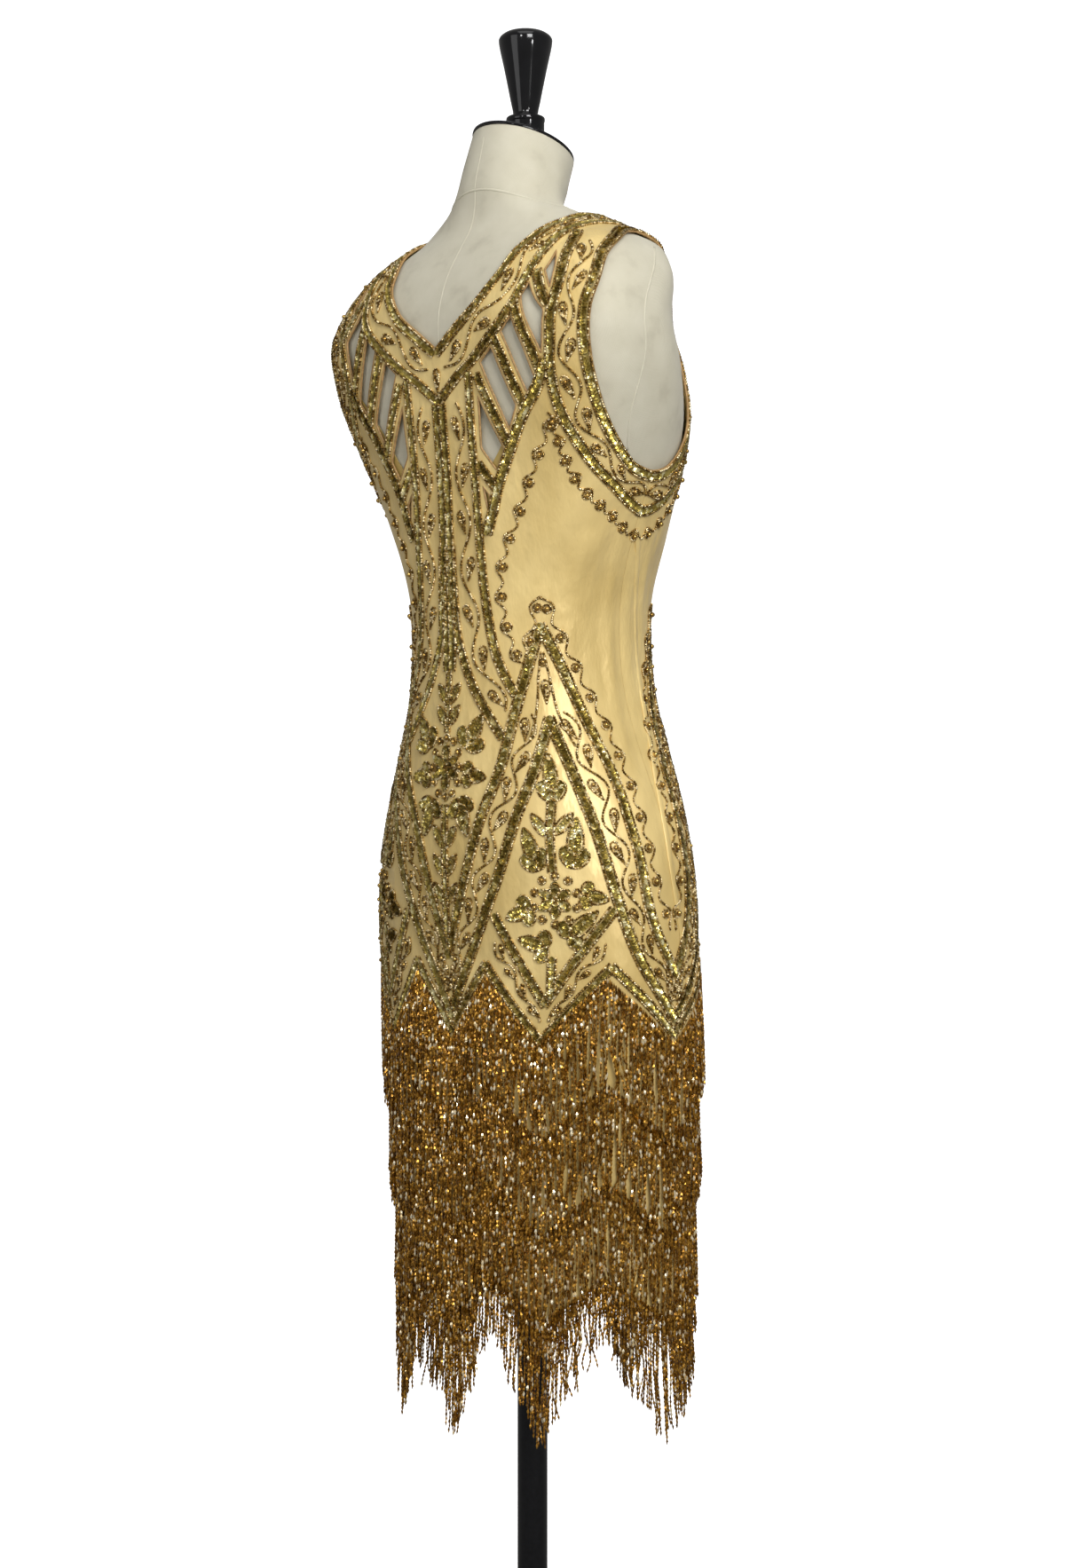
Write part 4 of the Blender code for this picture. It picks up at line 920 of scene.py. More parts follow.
def to_front(line):
    """The right front, mirrored at the side."""
    return np.stack((180.0 - line[:, 0], line[:, 1]), axis=1)


def to_front_left(line):
    """The left front."""
    return np.stack((line[:, 0] - 180.0, line[:, 1]), axis=1)


# Materials


def shader_of(name):
    """A new material's node tree and its main shader."""
    material = bpy.data.materials.new(name)
    material.use_nodes = True
    return material, material.node_tree.nodes["Principled BSDF"]


def set_values(shader, values):
    """Plain values on the shader's own sockets."""
    for name, value in values.items():
        shader.inputs[name].default_value = value


def coordinates(tree, scale=(1.0, 1.0, 1.0)):
    """Object coordinates with a scale for each axis."""
    source = tree.nodes.new("ShaderNodeTexCoord")
    mapping = tree.nodes.new("ShaderNodeMapping")
    mapping.inputs["Scale"].default_value = scale
    tree.links.new(source.outputs["Object"], mapping.inputs["Vector"])
    return mapping.outputs["Vector"]


def ramp(tree, value, stops):
    """Colour ramp from (place, colour) stops."""
    node = tree.nodes.new("ShaderNodeValToRGB")
    while len(node.color_ramp.elements) < len(stops):
        node.color_ramp.elements.new(0.5)
    for element, (place, colour) in zip(node.color_ramp.elements, stops):
        element.position = place
        element.color = (*colour, 1.0)
    tree.links.new(value, node.inputs["Fac"])
    return node.outputs["Color"]


def coloured(tree, shader, value, stops):
    """Base colour from a value and colour stops."""
    tree.links.new(ramp(tree, value, stops), shader.inputs["Base Color"])


def noise(tree, vector, scale, detail=2.0):
    """Soft noise."""
    node = tree.nodes.new("ShaderNodeTexNoise")
    node.inputs["Scale"].default_value = scale
    node.inputs["Detail"].default_value = detail
    tree.links.new(vector, node.inputs["Vector"])
    return node.outputs["Fac"]


def cells(tree, vector, scale):
    """One random value for each cell, about a bead in size."""
    node = tree.nodes.new("ShaderNodeTexVoronoi")
    node.inputs["Scale"].default_value = scale
    tree.links.new(vector, node.inputs["Vector"])
    split = tree.nodes.new("ShaderNodeSeparateColor")
    tree.links.new(node.outputs["Color"], split.inputs["Color"])
    return split.outputs["Red"]


def blend(tree, one, two, share):
    """Two values mixed by a share of the second."""
    node = tree.nodes.new("ShaderNodeMix")
    node.data_type = "FLOAT"
    node.inputs["Factor"].default_value = share
    tree.links.new(one, node.inputs["A"])
    tree.links.new(two, node.inputs["B"])
    return node.outputs["Result"]


def bump(tree, shader, height, strength, distance):
    """Fine relief from a height."""
    node = tree.nodes.new("ShaderNodeBump")
    node.inputs["Strength"].default_value = strength
    node.inputs["Distance"].default_value = distance
    tree.links.new(height, node.inputs["Height"])
    tree.links.new(node.outputs["Normal"], shader.inputs["Normal"])


def weave(tree, across, scale):
    """Threads in two directions, added up."""
    heights = []
    for axis in ("Z", across):
        node = tree.nodes.new("ShaderNodeTexWave")
        node.bands_direction = axis
        node.inputs["Scale"].default_value = scale
        node.inputs["Distortion"].default_value = 1.2
        node.inputs["Detail"].default_value = 1.0
        tree.links.new(coordinates(tree), node.inputs["Vector"])
        heights.append(node.outputs["Fac"])
    total = tree.nodes.new("ShaderNodeMath")
    total.operation = "ADD"
    tree.links.new(heights[0], total.inputs[0])
    tree.links.new(heights[1], total.inputs[1])
    return total.outputs["Value"]


def satin_finish():
    """Light gold satin with soft ripples and uneven colour: partly the cloth's own slight unevenness,
    partly painted shade and light of soft folds.
    """
    material, shader = shader_of("gold_satin_finish")
    tree = material.node_tree
    # Tall noise patches from darker to lighter gold: uneven tone, and painted shade and light of vertical
    # folds
    patches = noise(tree, coordinates(tree, (1.0, 1.0, 0.6)), 13.0, 4.0)
    coloured(tree, shader, patches, [(0.32, (0.60, 0.430, 0.150)), (0.68, (0.88, 0.675, 0.290))])
    set_values(shader, {"Roughness": 0.42, "Metallic": 0.16, "Sheen Weight": 0.20})
    set_values(shader, {"Sheen Roughness": 0.35, "Sheen Tint": (1.0, 0.90, 0.70, 1.0)})
    wide = noise(tree, coordinates(tree, (1.0, 1.0, 0.40)), 16.0, 2.0)
    fine = noise(tree, coordinates(tree, (1.0, 1.0, 0.50)), 70.0, 3.0)
    bump(tree, shader, blend(tree, wide, fine, 0.22), 0.75, 0.012)
    return material


def slip_finish():
    """Darker gold lining satin."""
    material, shader = shader_of("slip_satin_finish")
    tree = material.node_tree
    patches = noise(tree, coordinates(tree, (1.0, 1.0, 0.5)), 14.0, 3.0)
    coloured(tree, shader, patches, [(0.30, (0.36, 0.25, 0.065)), (0.70, (0.52, 0.37, 0.115))])
    set_values(shader, {"Roughness": 0.42, "Metallic": 0.15})
    bump(tree, shader, patches, 0.4, 0.004)
    return material


def linen_finish():
    """Off-white linen pulled over the form, with a plain weave and faint marks."""
    material, shader = shader_of("form_linen_finish")
    tree = material.node_tree
    marks = noise(tree, coordinates(tree), 38.0, 6.0)
    coloured(tree, shader, marks, LINEN_STOPS)
    set_values(shader, {"Roughness": 0.88, "Sheen Weight": 0.15})
    bump(tree, shader, weave(tree, "X", 420.0), 0.30, 0.0004)
    return material


def seam_finish():
    """Paler tape of the form's seams."""
    material, shader = shader_of("seam_tape_finish")
    tree = material.node_tree
    marks = noise(tree, coordinates(tree), 90.0, 4.0)
    coloured(tree, shader, marks, [(0.3, (0.575, 0.54, 0.42)), (0.7, (0.635, 0.60, 0.475))])
    set_values(shader, {"Roughness": 0.85})
    bump(tree, shader, weave(tree, "X", 420.0), 0.30, 0.0004)
    return material


def metal_finish(metal):
    """Metallic beads or sequins, each a little different in colour, with wider brighter patches that are
    painted glints.
    """
    material, shader = shader_of(metal.name)
    tree = material.node_tree
    place = coordinates(tree)
    value = cells(tree, place, metal.scale)
    # Painted glints: wide noise patches lift the colour toward the brightest stops
    if metal.patches:
        value = blend(tree, value, noise(tree, place, 22.0, 2.0), metal.patches)
    coloured(tree, shader, value, metal.stops)
    set_values(shader, {"Roughness": metal.roughness, "Metallic": metal.metallic})
    return material


def black_finish(name, roughness, specular, grain):
    """Black lacquer or paint with faint unevenness."""
    material, shader = shader_of(name)
    tree = material.node_tree
    spots = noise(tree, coordinates(tree), grain, 3.0)
    coloured(tree, shader, spots, [(0.35, (0.0030, 0.0030, 0.0036)), (0.70, (0.0055, 0.0055, 0.0065))])
    set_values(shader, {"Roughness": roughness, "Specular IOR Level": specular})
    bump(tree, shader, spots, 0.04, 0.0006)
    return material


# Building pieces


def piece(name, points, faces, finish, slot, replaced=(), smooth=True, sharp=None):
    """A mesh piece that rides with the gown."""
    mesh = bpy.data.meshes.new(name)
    mesh.from_pydata(np.asarray(points).tolist(), [], [tuple(int(k) for k in f) for f in faces])
    mesh.update()
    mesh.materials.append(finish)
    if smooth:
        mesh.shade_smooth()
        if sharp:
            mesh.set_sharp_from_angle(angle=math.radians(sharp))
    thing = bpy.data.objects.new(name, mesh)
    bpy.context.scene.collection.objects.link(thing)
    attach(thing, "root")
    if replaced:
        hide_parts(*replaced)
    return thing


def net(rows, sides, closed=False, inside=False):
    """Faces between rings of points, joined to a loop or with their ends closed."""
    faces = []
    for k in range(rows if closed else rows - 1):
        low = k * sides
        high = (k + 1) % rows * sides
        for j in range(sides):
            n = (j + 1) % sides
            if inside:
                faces.append((low + j, high + j, high + n, low + n))
            else:
                faces.append((low + j, low + n, high + n, high + j))
    if not closed:
        ends = [tuple(reversed(range(sides))), tuple(range((rows - 1) * sides, rows * sides))]
        faces += [end[::-1] for end in ends] if inside else ends
    return faces


def turned(name, profile, sides, finish, slot, replaced, place=(0.0, 0.0), closed=False):
    """A turned piece from (radius, height) pairs, closed at the axis or to a ring."""
    c, s = circle(sides)
    points = []
    for radius, height in profile:
        ring = (place[0] + radius * c, place[1] + radius * s, np.full(sides, height))
        points.append(np.column_stack(ring))
    faces = net(len(profile), sides, closed)
    return piece(name, np.vstack(points), faces, finish, slot, (replaced,), True, 35.0)


def rounded(profile, radius, steps=4):
    """The profile with its inner corners rounded."""
    result = [profile[0]]
    for before, corner, after in zip(profile[:-2], profile[1:-1], profile[2:]):
        before = np.array(before)
        corner = np.array(corner)
        after = np.array(after)
        one = np.linalg.norm(before - corner)
        two = np.linalg.norm(after - corner)
        cut = min(radius, 0.45 * one, 0.45 * two)
        start = corner + (before - corner) * cut / one
        end = corner + (after - corner) * cut / two
        for k in range(steps + 1):
            t = k / steps
            point = start * (1 - t) ** 2 + 2 * corner * t * (1 - t) + end * t**2
            result.append((float(point[0]), float(point[1])))
    return result + [profile[-1]]


def form_points(around, level, extra=0.0):
    """Points of the dress form's skin."""
    level = np.asarray(level, float)
    inset = column(FORM_INSETS, "depth", np.clip(level, 0.60, 1.49)) + extra
    return face(around, level) - outward(around, level) * np.asarray(inset)[..., None]


def cap_frame():
    """Middle and upward direction of the neck's slanted top."""
    even = 360.0 * np.arange(40) / 40
    around = even + 14.0 * np.sin(np.radians(2.0 * even))
    middle = form_points(around, np.full(40, NECK_TOP)).mean(axis=0)
    slope = unit(face(0.0, NECK_TOP) - face(180.0, NECK_TOP))
    up = unit(np.cross((1.0, 0.0, 0.0), slope))
    return middle, up


def dress_form(finish):
    """Smooth linen torso and neck."""
    sides = 180
    around = np.arange(sides) * 360.0 / sides
    body = np.linspace(FORM_BOTTOM + FORM_ROUNDING, 1.30, 90)
    levels = np.concatenate((body, np.linspace(1.304, NECK_TOP, 64)))
    middle, up = cap_frame()
    rings = []
    for share in (0.0, 0.35, 0.7):
        turn = share * math.pi / 2
        level = np.full(sides, FORM_BOTTOM + FORM_ROUNDING)
        low = form_points(around, level, FORM_ROUNDING * (1.0 - math.sin(turn)))
        low[:, 2] = FORM_BOTTOM + FORM_ROUNDING * (1.0 - math.cos(turn))
        rings.append(low)
    for level in levels:
        rings.append(form_points(around, np.full(sides, level)))
    top = rings[-1]
    top[:, 2] = middle[2] - (up[0] * (top[:, 0] - middle[0]) + up[1] * (top[:, 1] - middle[1])) / up[2]
    faces = net(len(rings), sides, inside=True)
    return piece("form_torso", np.vstack(rings), faces, finish, "form_linen", ("dress_form",), True, 50.0)


def tube(centres, radius, sides, ups, closed, flat=1.0):
    """Points and faces of a cord along centres, round or flattened."""
    if closed:
        ahead = unit(np.roll(centres, -1, axis=0) - np.roll(centres, 1, axis=0))
    else:
        ahead = unit(np.gradient(centres, axis=0))
    side = unit(np.cross(ups, ahead))
    up = np.cross(ahead, side)
    c, s = circle(sides)
    ring = side[:, None, :] * c[None, :, None] + up[:, None, :] * flat * s[None, :, None]
    points = (centres[:, None, :] + ring * radius).reshape(-1, 3)
    return points, net(len(centres), sides, closed)


def joined(parts):
    """Several point and face lists as one."""
    points = []
    faces = []
    start = 0
    for part_points, part_faces in parts:
        points.append(part_points)
        faces += [tuple(k + start for k in f) for f in part_faces]
        start += len(part_points)
    return np.vstack(points), faces


def tape(around, level, radius, closed, flat):
    """Flat tape along places on the form."""
    return tube(form_points(around, level), radius, 8, outward(around, level), closed, flat)


def cord(line, lift, radius, sides, closed, flat=1.0):
    """Cord along a line on the cloth."""
    around = line[:, 0]
    level = line[:, 1]
    return tube(cloth(around, level, lift), radius, sides, outward(around, level), closed, flat)


def form_seams(finish):
    """Flat seams of the form's cover: round the neck, down the middle and over the shoulder ends."""
    around = np.arange(0.0, 360.0, 3.0)
    level = 1.412 + 0.003 * np.cos(np.radians(around))
    parts = [tape(around, level, TAPE_RADIUS, True, 0.40)]
    for middle in (0.0, 180.0):
        level = np.linspace(1.10, 1.470, 60)
        parts.append(tape(np.full(60, middle), level, MIDDLE_TAPE_RADIUS, False, 0.35))
    for side in (1.0, -1.0):
        line = spread(curve(SHOULDER_SEAM), 0.004) * (side, 1.0)
        parts.append(tape(line[:, 0], line[:, 1], TAPE_RADIUS, False, 0.40))
    return piece("form_seams", *joined(parts), finish, "form_linen")


def neck_cap(finish):
    """Thin lacquered lid of the neck, its rim rounded."""
    middle, up = cap_frame()
    reach = CAP_OVERHANG - FORM_INSETS[-1].depth
    half_width = float(column(LEVELS, "half_width", np.array([NECK_TOP]))[0]) + reach
    half_depth = 0.5 * float(np.linalg.norm(face(0.0, NECK_TOP) - face(180.0, NECK_TOP))) + reach
    x_axis = np.array([1.0, 0.0, 0.0])
    y_axis = np.cross(up, x_axis)
    low = FIT_GAP
    high = FIT_GAP + CAP_THICKNESS
    edge = CAP_EDGE
    quarter = [math.pi / 2 * k / 4 for k in range(5)]
    profile = [(edge * (1 - math.sin(t)), low + edge * (1 - math.cos(t))) for t in quarter]
    profile += [(edge * (1 - math.cos(t)), high - edge * (1 - math.sin(t))) for t in quarter]
    sides = 120
    c, s = circle(sides)
    rings = []
    for inward, height in profile:
        x = (half_width - inward) * c
        y = (half_depth - inward) * s
        rings.append(middle + x[:, None] * x_axis + y[:, None] * y_axis + up * height)
    faces = net(len(rings), sides)
    return piece("neck_lid", np.vstack(rings), faces, finish, "black_lacquer", ("neck_cap",), True, 40.0)


def finial(finish):
    """Turned knob on the neck, its foot cut to the slant of the lid."""
    profile = [KNOB_PROFILE[0]] + [tuple(p) for p in curve(KNOB_PROFILE[1:], 5)]
    thing = turned("knob", profile, 96, finish, "black_lacquer", "finial", (0.0, FINIAL_Y))
    middle, up = cap_frame()
    top = middle + up * (2 * FIT_GAP + CAP_THICKNESS)
    for vertex in thing.data.vertices:
        plane = top[2] - (up[0] * (vertex.co.x - top[0]) + up[1] * (vertex.co.y - top[1])) / up[2]
        vertex.co.z = max(vertex.co.z, plane)
    return thing


def stand(finish):
    """Base, collar and pole."""
    edge = 0.003
    base = rounded(
        [(0.001, 0.0), (BASE_RADIUS - 0.001, 0.0), (BASE_RADIUS, 0.001),
         (BASE_RADIUS, BASE_HEIGHT - 2 * edge), (BASE_RADIUS - 2 * edge, BASE_HEIGHT),
         (0.001, BASE_HEIGHT)],
        0.004,
    )
    turned("base_plate", base, 160, finish, "black_metal", "stand_base")
    foot = BASE_HEIGHT + FIT_GAP
    bore = POLE_RADIUS + FIT_GAP
    top = foot + COLLAR_HEIGHT
    collar = rounded(
        [(COLLAR_RADIUS + 0.004, foot), (COLLAR_RADIUS, foot + 0.006), (COLLAR_RADIUS - 0.003, top - 0.003),
         (COLLAR_RADIUS - 0.006, top), (bore, top)],
        0.0015,
    )
    ring = collar + [(bore, foot)]
    turned("collar", ring, 72, finish, "black_metal", "stand_collar", closed=True)
    pole = rounded(
        [(POLE_RADIUS - 0.001, foot), (POLE_RADIUS, foot + 0.001), (POLE_RADIUS, FORM_BOTTOM - 0.002),
         (POLE_RADIUS - 0.001, FORM_BOTTOM - FIT_GAP)],
        0.0008,
    )
    turned("pole", pole, 72, finish, "black_metal", "stand_pole")


# Cloth


def plan(line):
    """Pattern places as points of the flat plan, metres."""
    line = np.asarray(line, float)
    return np.stack((np.radians(line[:, 0]) * PATTERN_RADIUS, line[:, 1]), axis=1)


def within(points, loop):
    """Which plan points lie in a closed loop."""
    a = loop
    b = np.roll(loop, -1, axis=0)
    x = points[:, 0][:, None]
    y = points[:, 1][:, None]
    crossing = (a[None, :, 1] > y) != (b[None, :, 1] > y)
    rise = np.where(np.abs(b[:, 1] - a[:, 1]) < 1e-12, 1e-12, b[:, 1] - a[:, 1])
    at = (b[:, 0] - a[:, 0])[None, :] * (y - a[None, :, 1]) / rise[None, :] + a[None, :, 0]
    return (crossing & (x < at)).sum(axis=1) % 2 == 1


def clearance(points, loop):
    """Distance of plan points from a closed loop."""
    a = loop
    side = np.roll(loop, -1, axis=0) - a
    away = points[:, None, :] - a[None, :, :]
    t = np.clip((away * side).sum(axis=2) / np.maximum((side**2).sum(axis=1), 1e-12), 0.0, 1.0)
    return np.linalg.norm(away - side[None, :, :] * t[:, :, None], axis=2).min(axis=1)


def cloth_piece(name, outline, holes, thickness, lift, finish, slot, replaced):
    """Thin closed shell of cloth on the gown's surface, from a flat outline with holes."""
    loops = [plan(loop) for loop in [outline] + holes]
    points = []
    edges = []
    for loop in loops:
        first = len(points)
        points += [Vector(p) for p in loop]
        edges += [(first + k, first + (k + 1) % len(loop)) for k in range(len(loop))]
    low = loops[0].min(axis=0)
    high = loops[0].max(axis=0)
    wide, tall = MESH_GAP
    rows = int((high[1] - low[1]) / tall) + 1
    across = int((high[0] - low[0]) / wide) + 2
    grid = np.array([
        (low[0] + (i + 0.5 * (j % 2)) * wide, low[1] + 0.5 * tall + j * tall)
        for j in range(rows)
        for i in range(across)
    ])
    keep = within(grid, loops[0]) & (clearance(grid, loops[0]) > MESH_MARGIN)
    for hole in loops[1:]:
        keep &= ~within(grid, hole) & (clearance(grid, hole) > MESH_MARGIN)
    points += [Vector(p) for p in grid[keep]]
    flat, _, triangles, _, _, _ = delaunay_2d_cdt(points, edges, [], 0, 1e-7)
    flat = np.array([tuple(p) for p in flat])
    triangles = np.array([tuple(t) for t in triangles])
    middles = flat[triangles].mean(axis=1)
    keep = within(middles, loops[0])
    for hole in loops[1:]:
        keep &= ~within(middles, hole)
    triangles = triangles[keep]
    used, triangles = np.unique(triangles, return_inverse=True)
    triangles = triangles.reshape(-1, 3)
    around = np.degrees(flat[used, 0] / PATTERN_RADIUS)
    level = flat[used, 1]
    count = len(used)
    shell = np.vstack((cloth(around, level, lift), cloth(around, level, lift - thickness)))
    sides = {}
    for a, b, c in triangles.tolist():
        for edge in ((a, b), (b, c), (c, a)):
            sides[edge] = True
    rim = [(b, a, a + count, b + count) for a, b in sides if (b, a) not in sides]
    faces = triangles.tolist() + (triangles[:, ::-1] + count).tolist() + rim
    return piece(name, shell, faces, finish, slot, replaced, True, 60.0)


def hem_line(start, end):
    """Zigzag hem between two places, corners kept."""
    half = 0.5 * ZIGZAG_PERIOD
    corners = [start] + [k * half for k in range(-20, 40) if start + 0.01 < k * half < end - 0.01] + [end]
    marks = [(a, float(zigzag(TIERS[-1], a)) - HEM_BELOW_ROOT) for a in corners]
    return spread(straight(marks), 0.006)


def panel_half(neck, arm, shift):
    """Edge of a panel's right half from its neck point to the seam's foot."""
    seam_low = float(zigzag(TIERS[-1], SEAM_AROUND)) - HEM_BELOW_ROOT
    low_arm = arm[-1][1]
    edge = np.vstack((
        spread(curve(neck), 0.005),
        spread(curve(arm), 0.005),
        spread(straight([(SEAM_AROUND, low_arm), (SEAM_AROUND, seam_low)]), 0.007)[1:],
    ))
    edge[np.abs(edge[:, 0] - SEAM_AROUND) < 0.01, 0] += shift
    return edge


def panels(finish):
    """Back and front shells."""
    shift = math.degrees(0.5 * FIT_GAP / SEAM_RADIUS)
    right = panel_half(BACK_NECK_EDGE, BACK_ARM_EDGE, -shift)
    left = right[::-1] * (-1.0, 1.0)
    hem = hem_line(-SEAM_AROUND + shift, SEAM_AROUND - shift)[::-1]
    outline = np.vstack((right, hem[1:-1], left[:-1]))
    holes = []
    for gap in GAPS:
        loop = spread(straight(gap + gap[:1]), 0.004)[:-1]
        holes.append(loop)
        holes.append(loop[::-1] * (-1.0, 1.0))
    back = cloth_piece("satin_back", outline, holes, CLOTH, 0.0, finish, "gold_satin", ("back_panel",))
    right = panel_half(FRONT_NECK_EDGE[::-1], FRONT_ARM_EDGE[::-1], shift)
    left = np.stack((360.0 - right[::-1, 0], right[::-1, 1]), axis=1)
    hem = hem_line(SEAM_AROUND + shift, 360.0 - SEAM_AROUND - shift)
    outline = np.vstack((right, hem[1:-1], left[:-1]))
    front = cloth_piece("satin_front", outline, [], CLOTH, 0.0, finish, "gold_satin", ("front_panel",))
    return back, front


def slips(finish):
    """Edges of the under slip behind the openwork."""
    made = []
    for side, sign in (("right", 1.0), ("left", -1.0)):
        outline = spread(straight(SLIP_EDGE + SLIP_EDGE[:1]), 0.005)[:-1] * (sign, 1.0)
        if sign < 0:
            outline = outline[::-1]
        replaced = ("slip_edge_" + side,)
        cloth_values = (SLIP_CLOTH, SLIP_LIFT, finish, "slip_satin", replaced)
        made.append(cloth_piece("slip_" + side, outline, [], *cloth_values))
    return made


def side_welts(finish):
    """Padded ridges of satin over the side seams."""
    parts = []
    for sign in (1.0, -1.0):
        line = spread(curve(WELT), 0.004) * (sign, 1.0)
        parts.append(cord(line, WELT_LIFT, WELT_RADIUS, 12, False, WELT_FLATNESS))
    return piece("side_welts", *joined(parts), finish, "gold_satin")


def bindings(finish):
    """Rolled cord edges of the cutwork, neck and armholes."""
    parts = []
    for gap in GAPS:
        for sign in (1.0, -1.0):
            loop = spread(straight(gap + gap[:1]), 0.003)[:-1] * (sign, 1.0)
            parts.append(cord(loop, CORD_SUNK, GAP_CORD_RADIUS, 6, True))
    neck = np.vstack((curve(BACK_NECK_EDGE)[:-1], curve(FRONT_NECK_EDGE)))
    whole = np.vstack((neck, neck[::-1][1:-1] * (-1.0, 1.0)))
    loops = [spread(whole, 0.004)[:-1]]
    arm = np.vstack((curve(BACK_ARM_EDGE)[:-1], curve(FRONT_ARM_EDGE)[:-1]))
    for sign in (1.0, -1.0):
        loops.append(spread(arm * (sign, 1.0), 0.004))
    parts += [cord(loop, CORD_SUNK, CORD_RADIUS, 6, True) for loop in loops]
    return piece("edge_binding", *joined(parts), finish, "gold_satin")


def fringe(tier, finish, bright):
    """Strands of cut beads hanging from one zigzag row."""
    count = STRANDS
    root_around = (np.arange(count) + random.uniform(-0.3, 0.3, count)) * 360.0 / count
    root = zigzag(tier, root_around)
    share = (root - tier.low) / (tier.high - tier.low)
    length = tier.low_length + (tier.high_length - tier.low_length) * share
    length = length * random.uniform(0.90, 1.06, count)
    sway = np.degrees(random.normal(0.0, 0.0030, count) / PATTERN_RADIUS)
    kink = np.degrees(random.normal(0.0, 0.0020, count) / PATTERN_RADIUS)
    tip_out = TIP_LIFT + random.uniform(-0.0028, 0.0030, count)
    most = int(length.max() / STRAND_PITCH)
    down = (np.arange(most)[None, :] + 0.5) * STRAND_PITCH
    along = down / length[:, None]
    kept = along < 1.0
    phase = random.uniform(0.0, 2 * math.pi, count)[:, None]
    around = root_around[:, None] + sway[:, None] * along**2
    around = around + kink[:, None] * along * np.sin(9.0 * along + phase)
    level = root[:, None] - 0.002 - down
    lift = ROOT_LIFT + (tip_out[:, None] - ROOT_LIFT) * along
    held = np.maximum(level, LOWEST_LEVEL)
    points = face(around, level) + outward(around, held) * lift[..., None]
    spin = random.uniform(0.0, 2 * math.pi, points.shape[:2])[..., None]
    ahead = unit(np.gradient(points, axis=1))
    up = outward(around, held)
    side = unit(np.cross(up, ahead))
    up = np.cross(ahead, side)
    turned_side = side * np.cos(spin) + up * np.sin(spin)
    turned_up = up * np.cos(spin) - side * np.sin(spin)
    sparkle = (random.uniform(0.0, 1.0, kept.shape) < STRAND_SPARKLE) & kept
    plain = kept & ~sparkle
    shape = bead_shape(3)
    made = []
    for name, chosen, width, look in (
        (tier.name, plain, STRAND_WIDTH, finish),
        (tier.name.replace("strands", "sparkle"), sparkle, STRAND_WIDTH * 1.10, bright),
    ):
        scale = random.uniform(0.9, 1.1, (chosen.sum(), 1))
        sizes = np.array([STRAND_PITCH * STRAND_LENGTH, width, width]) * scale
        axes = (ahead[chosen], turned_side[chosen], turned_up[chosen])
        beads = stamped(shape, points[chosen], *axes, sizes)
        replaced = (tier.node,) if chosen is plain else ()
        made.append(piece(name, *beads, look, "bead_fringe", replaced, smooth=False))
    return made


def sewn_pieces(boxes, finishes):
    """Meshes of the seed beads, sequins and pearls on each panel."""
    bands = [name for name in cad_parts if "_band" in name]
    made = []
    for kind in ("sequins", "seeds", "pearls"):
        for panel in ("back", "front"):
            replaced = bands if (kind, panel) == ("sequins", "back") else ()
            points = np.vstack(boxes[kind].points[panel])
            faces = np.vstack(boxes[kind].faces[panel])
            smooth = kind != "sequins"
            name = kind + "_" + panel
            made.append(piece(name, points, faces, finishes[kind], "sequin_band", replaced, smooth))
    return made


# Camera, light and floor


def add_camera():
    """Camera at the photograph's angle."""
    turn = math.radians(CAMERA_AZIMUTH)
    data = bpy.data.cameras.new("camera")
    data.lens = CAMERA_LENS
    data.sensor_width = SENSOR_WIDTH
    camera = bpy.data.objects.new("camera", data)
    camera.location = (
        math.sin(turn) * CAMERA_DISTANCE, -math.cos(turn) * CAMERA_DISTANCE, CAMERA_HEIGHT,
    )
    camera.rotation_euler = (math.radians(90.0), 0.0, turn)
    bpy.context.scene.collection.objects.link(camera)
    bpy.context.scene.camera = camera


def add_light(light):
    """Square area light that faces the gown."""
    data = bpy.data.lights.new(light.name, "AREA")
    data.shape = "SQUARE"
    data.size = light.size
    data.energy = light.power
    lamp = bpy.data.objects.new(light.name, data)
    turn = math.radians(CAMERA_AZIMUTH + light.turn)
    lamp.location = (math.sin(turn) * light.distance, -math.cos(turn) * light.distance, light.height)
    lamp.rotation_euler = (Vector(LIGHT_TARGET) - lamp.location).to_track_quat("-Z", "Y").to_euler()
    bpy.context.scene.collection.objects.link(lamp)


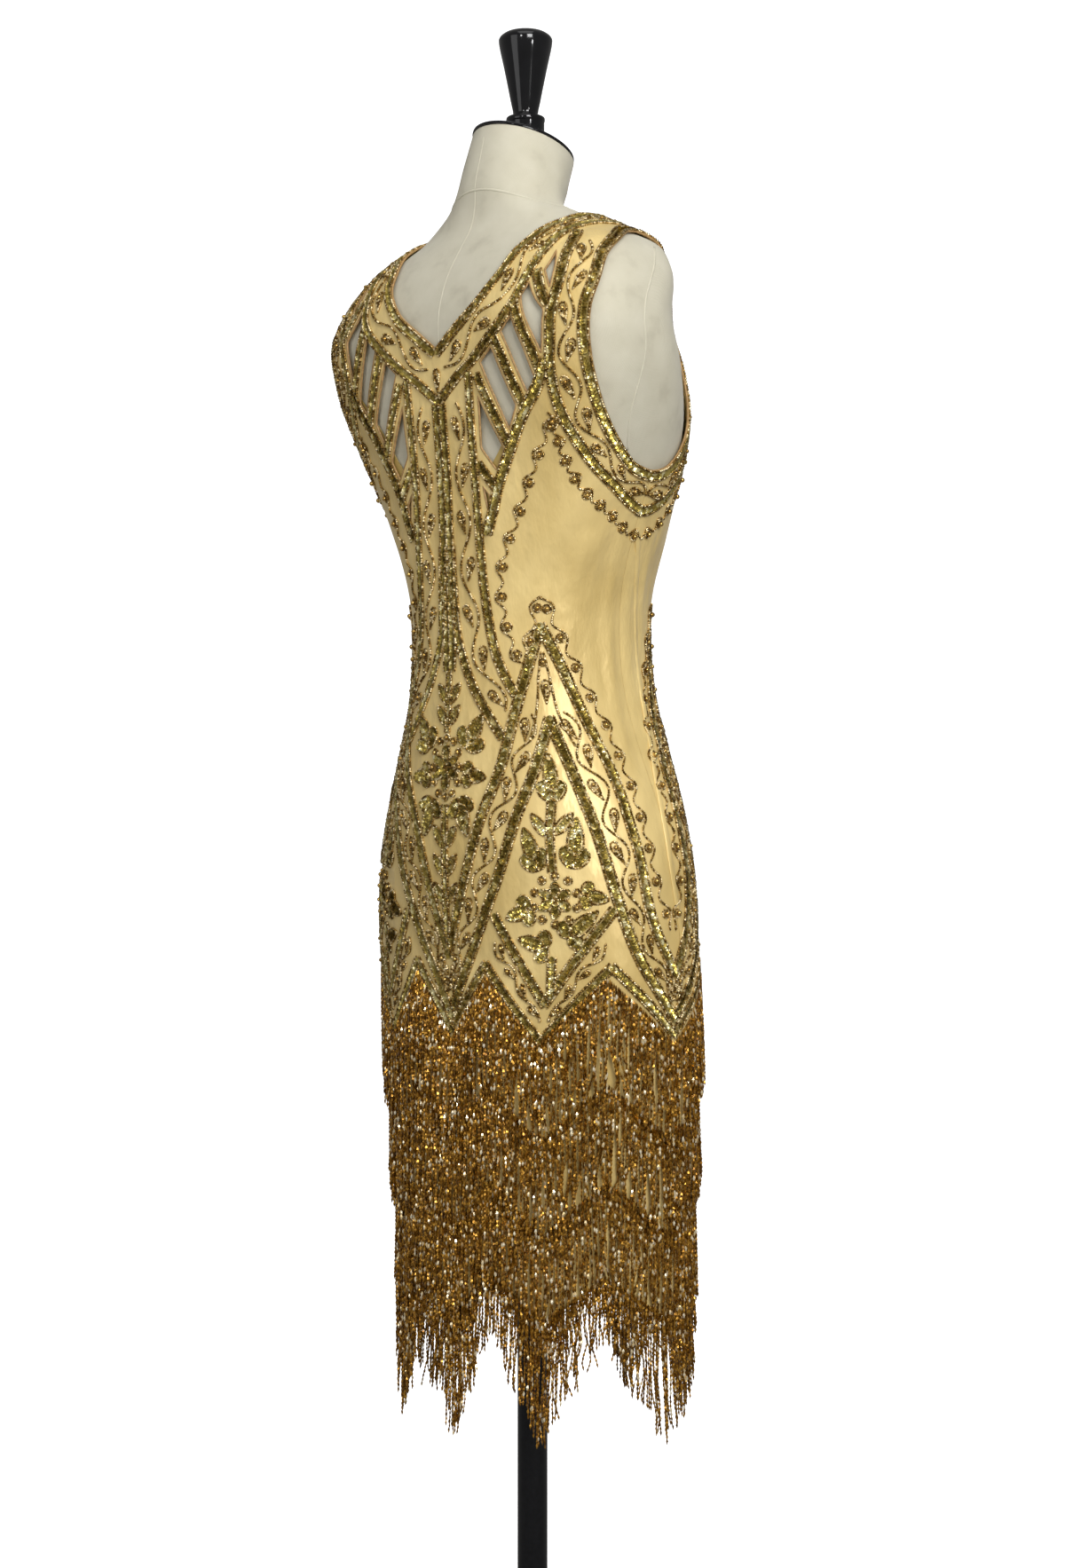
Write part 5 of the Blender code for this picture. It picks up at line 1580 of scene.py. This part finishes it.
def add_studio():
    """Pale floor and backdrop, soft lights and an even surrounding."""
    scene = bpy.context.scene
    world = bpy.data.worlds.new("studio")
    world.use_nodes = True
    background = world.node_tree.nodes["Background"]
    background.inputs["Color"].default_value = (1.0, 0.985, 0.96, 1.0)
    background.inputs["Strength"].default_value = WORLD_STRENGTH
    scene.world = world
    scene.view_settings.view_transform = "Standard"
    white, shader = shader_of("studio_white")
    set_values(shader, {"Base Color": (0.9, 0.9, 0.9, 1.0), "Roughness": 0.9})
    set_values(shader, {"Emission Color": (1.0, 1.0, 1.0, 1.0), "Emission Strength": 1.0})
    turn = math.radians(CAMERA_AZIMUTH)
    behind = (-math.sin(turn) * BACKDROP_DISTANCE, math.cos(turn) * BACKDROP_DISTANCE, 0.0)
    for name, place, rotation in (
        ("floor", (0.0, 0.0, 0.0), (0.0, 0.0, 0.0)),
        ("backdrop", behind, (math.radians(90.0), 0.0, turn)),
    ):
        mesh = bpy.data.meshes.new(name)
        corners = [(-1, -1), (1, -1), (1, 1), (-1, 1)]
        mesh.from_pydata([(x * SHEET_HALF, y * SHEET_HALF, 0.0) for x, y in corners], [], [(0, 1, 2, 3)])
        mesh.materials.append(white)
        sheet = bpy.data.objects.new(name, mesh)
        sheet.rotation_euler = rotation
        sheet.location = place
        sheet.visible_diffuse = False
        sheet.visible_glossy = False
        scene.collection.objects.link(sheet)
    for light in LIGHTS:
        add_light(light)


def main():
    """Dress the frame."""
    add_camera()
    add_studio()
    satin = satin_finish()
    slip = slip_finish()
    linen = linen_finish()
    lacquer = black_finish("black_lacquer_finish", 0.10, 0.40, 60.0)
    paint = black_finish("black_metal_finish", 0.38, 0.25, 240.0)
    finishes = {kind: metal_finish(metal) for kind, metal in METALS.items()}
    torso = dress_form(linen)
    form_seams(seam_finish())
    neck_cap(lacquer)
    finial(lacquer)
    stand(paint)
    back, front = panels(satin)
    slip_right, slip_left = slips(slip)
    welts = side_welts(satin)
    binding = bindings(finishes["cord"])
    boxes = {"sequins": Box(), "seeds": Box(), "pearls": Box()}
    for turn in (same, to_left):
        sketches = [draw_neck(True), draw_neck(False), draw_arm(True), draw_arm(False), draw_back_half()]
        for sketch in sketches:
            sew(sketch, turn, boxes)
        arm_scallop = Drawing()
        arm_scallop.scallop(curve(SCALLOP_ARM), 16, -1)
        sew(arm_scallop, turn, boxes)
    sew(draw_centre(), same, boxes)
    quarter = draw_quarter()
    for turn in (same, to_left, to_front, to_front_left):
        sew(quarter, turn, boxes)
    beadwork = sewn_pieces(boxes, finishes)
    strands = []
    for tier in TIERS:
        strands += fringe(tier, finishes["strands"], finishes["sparkle"])


main()
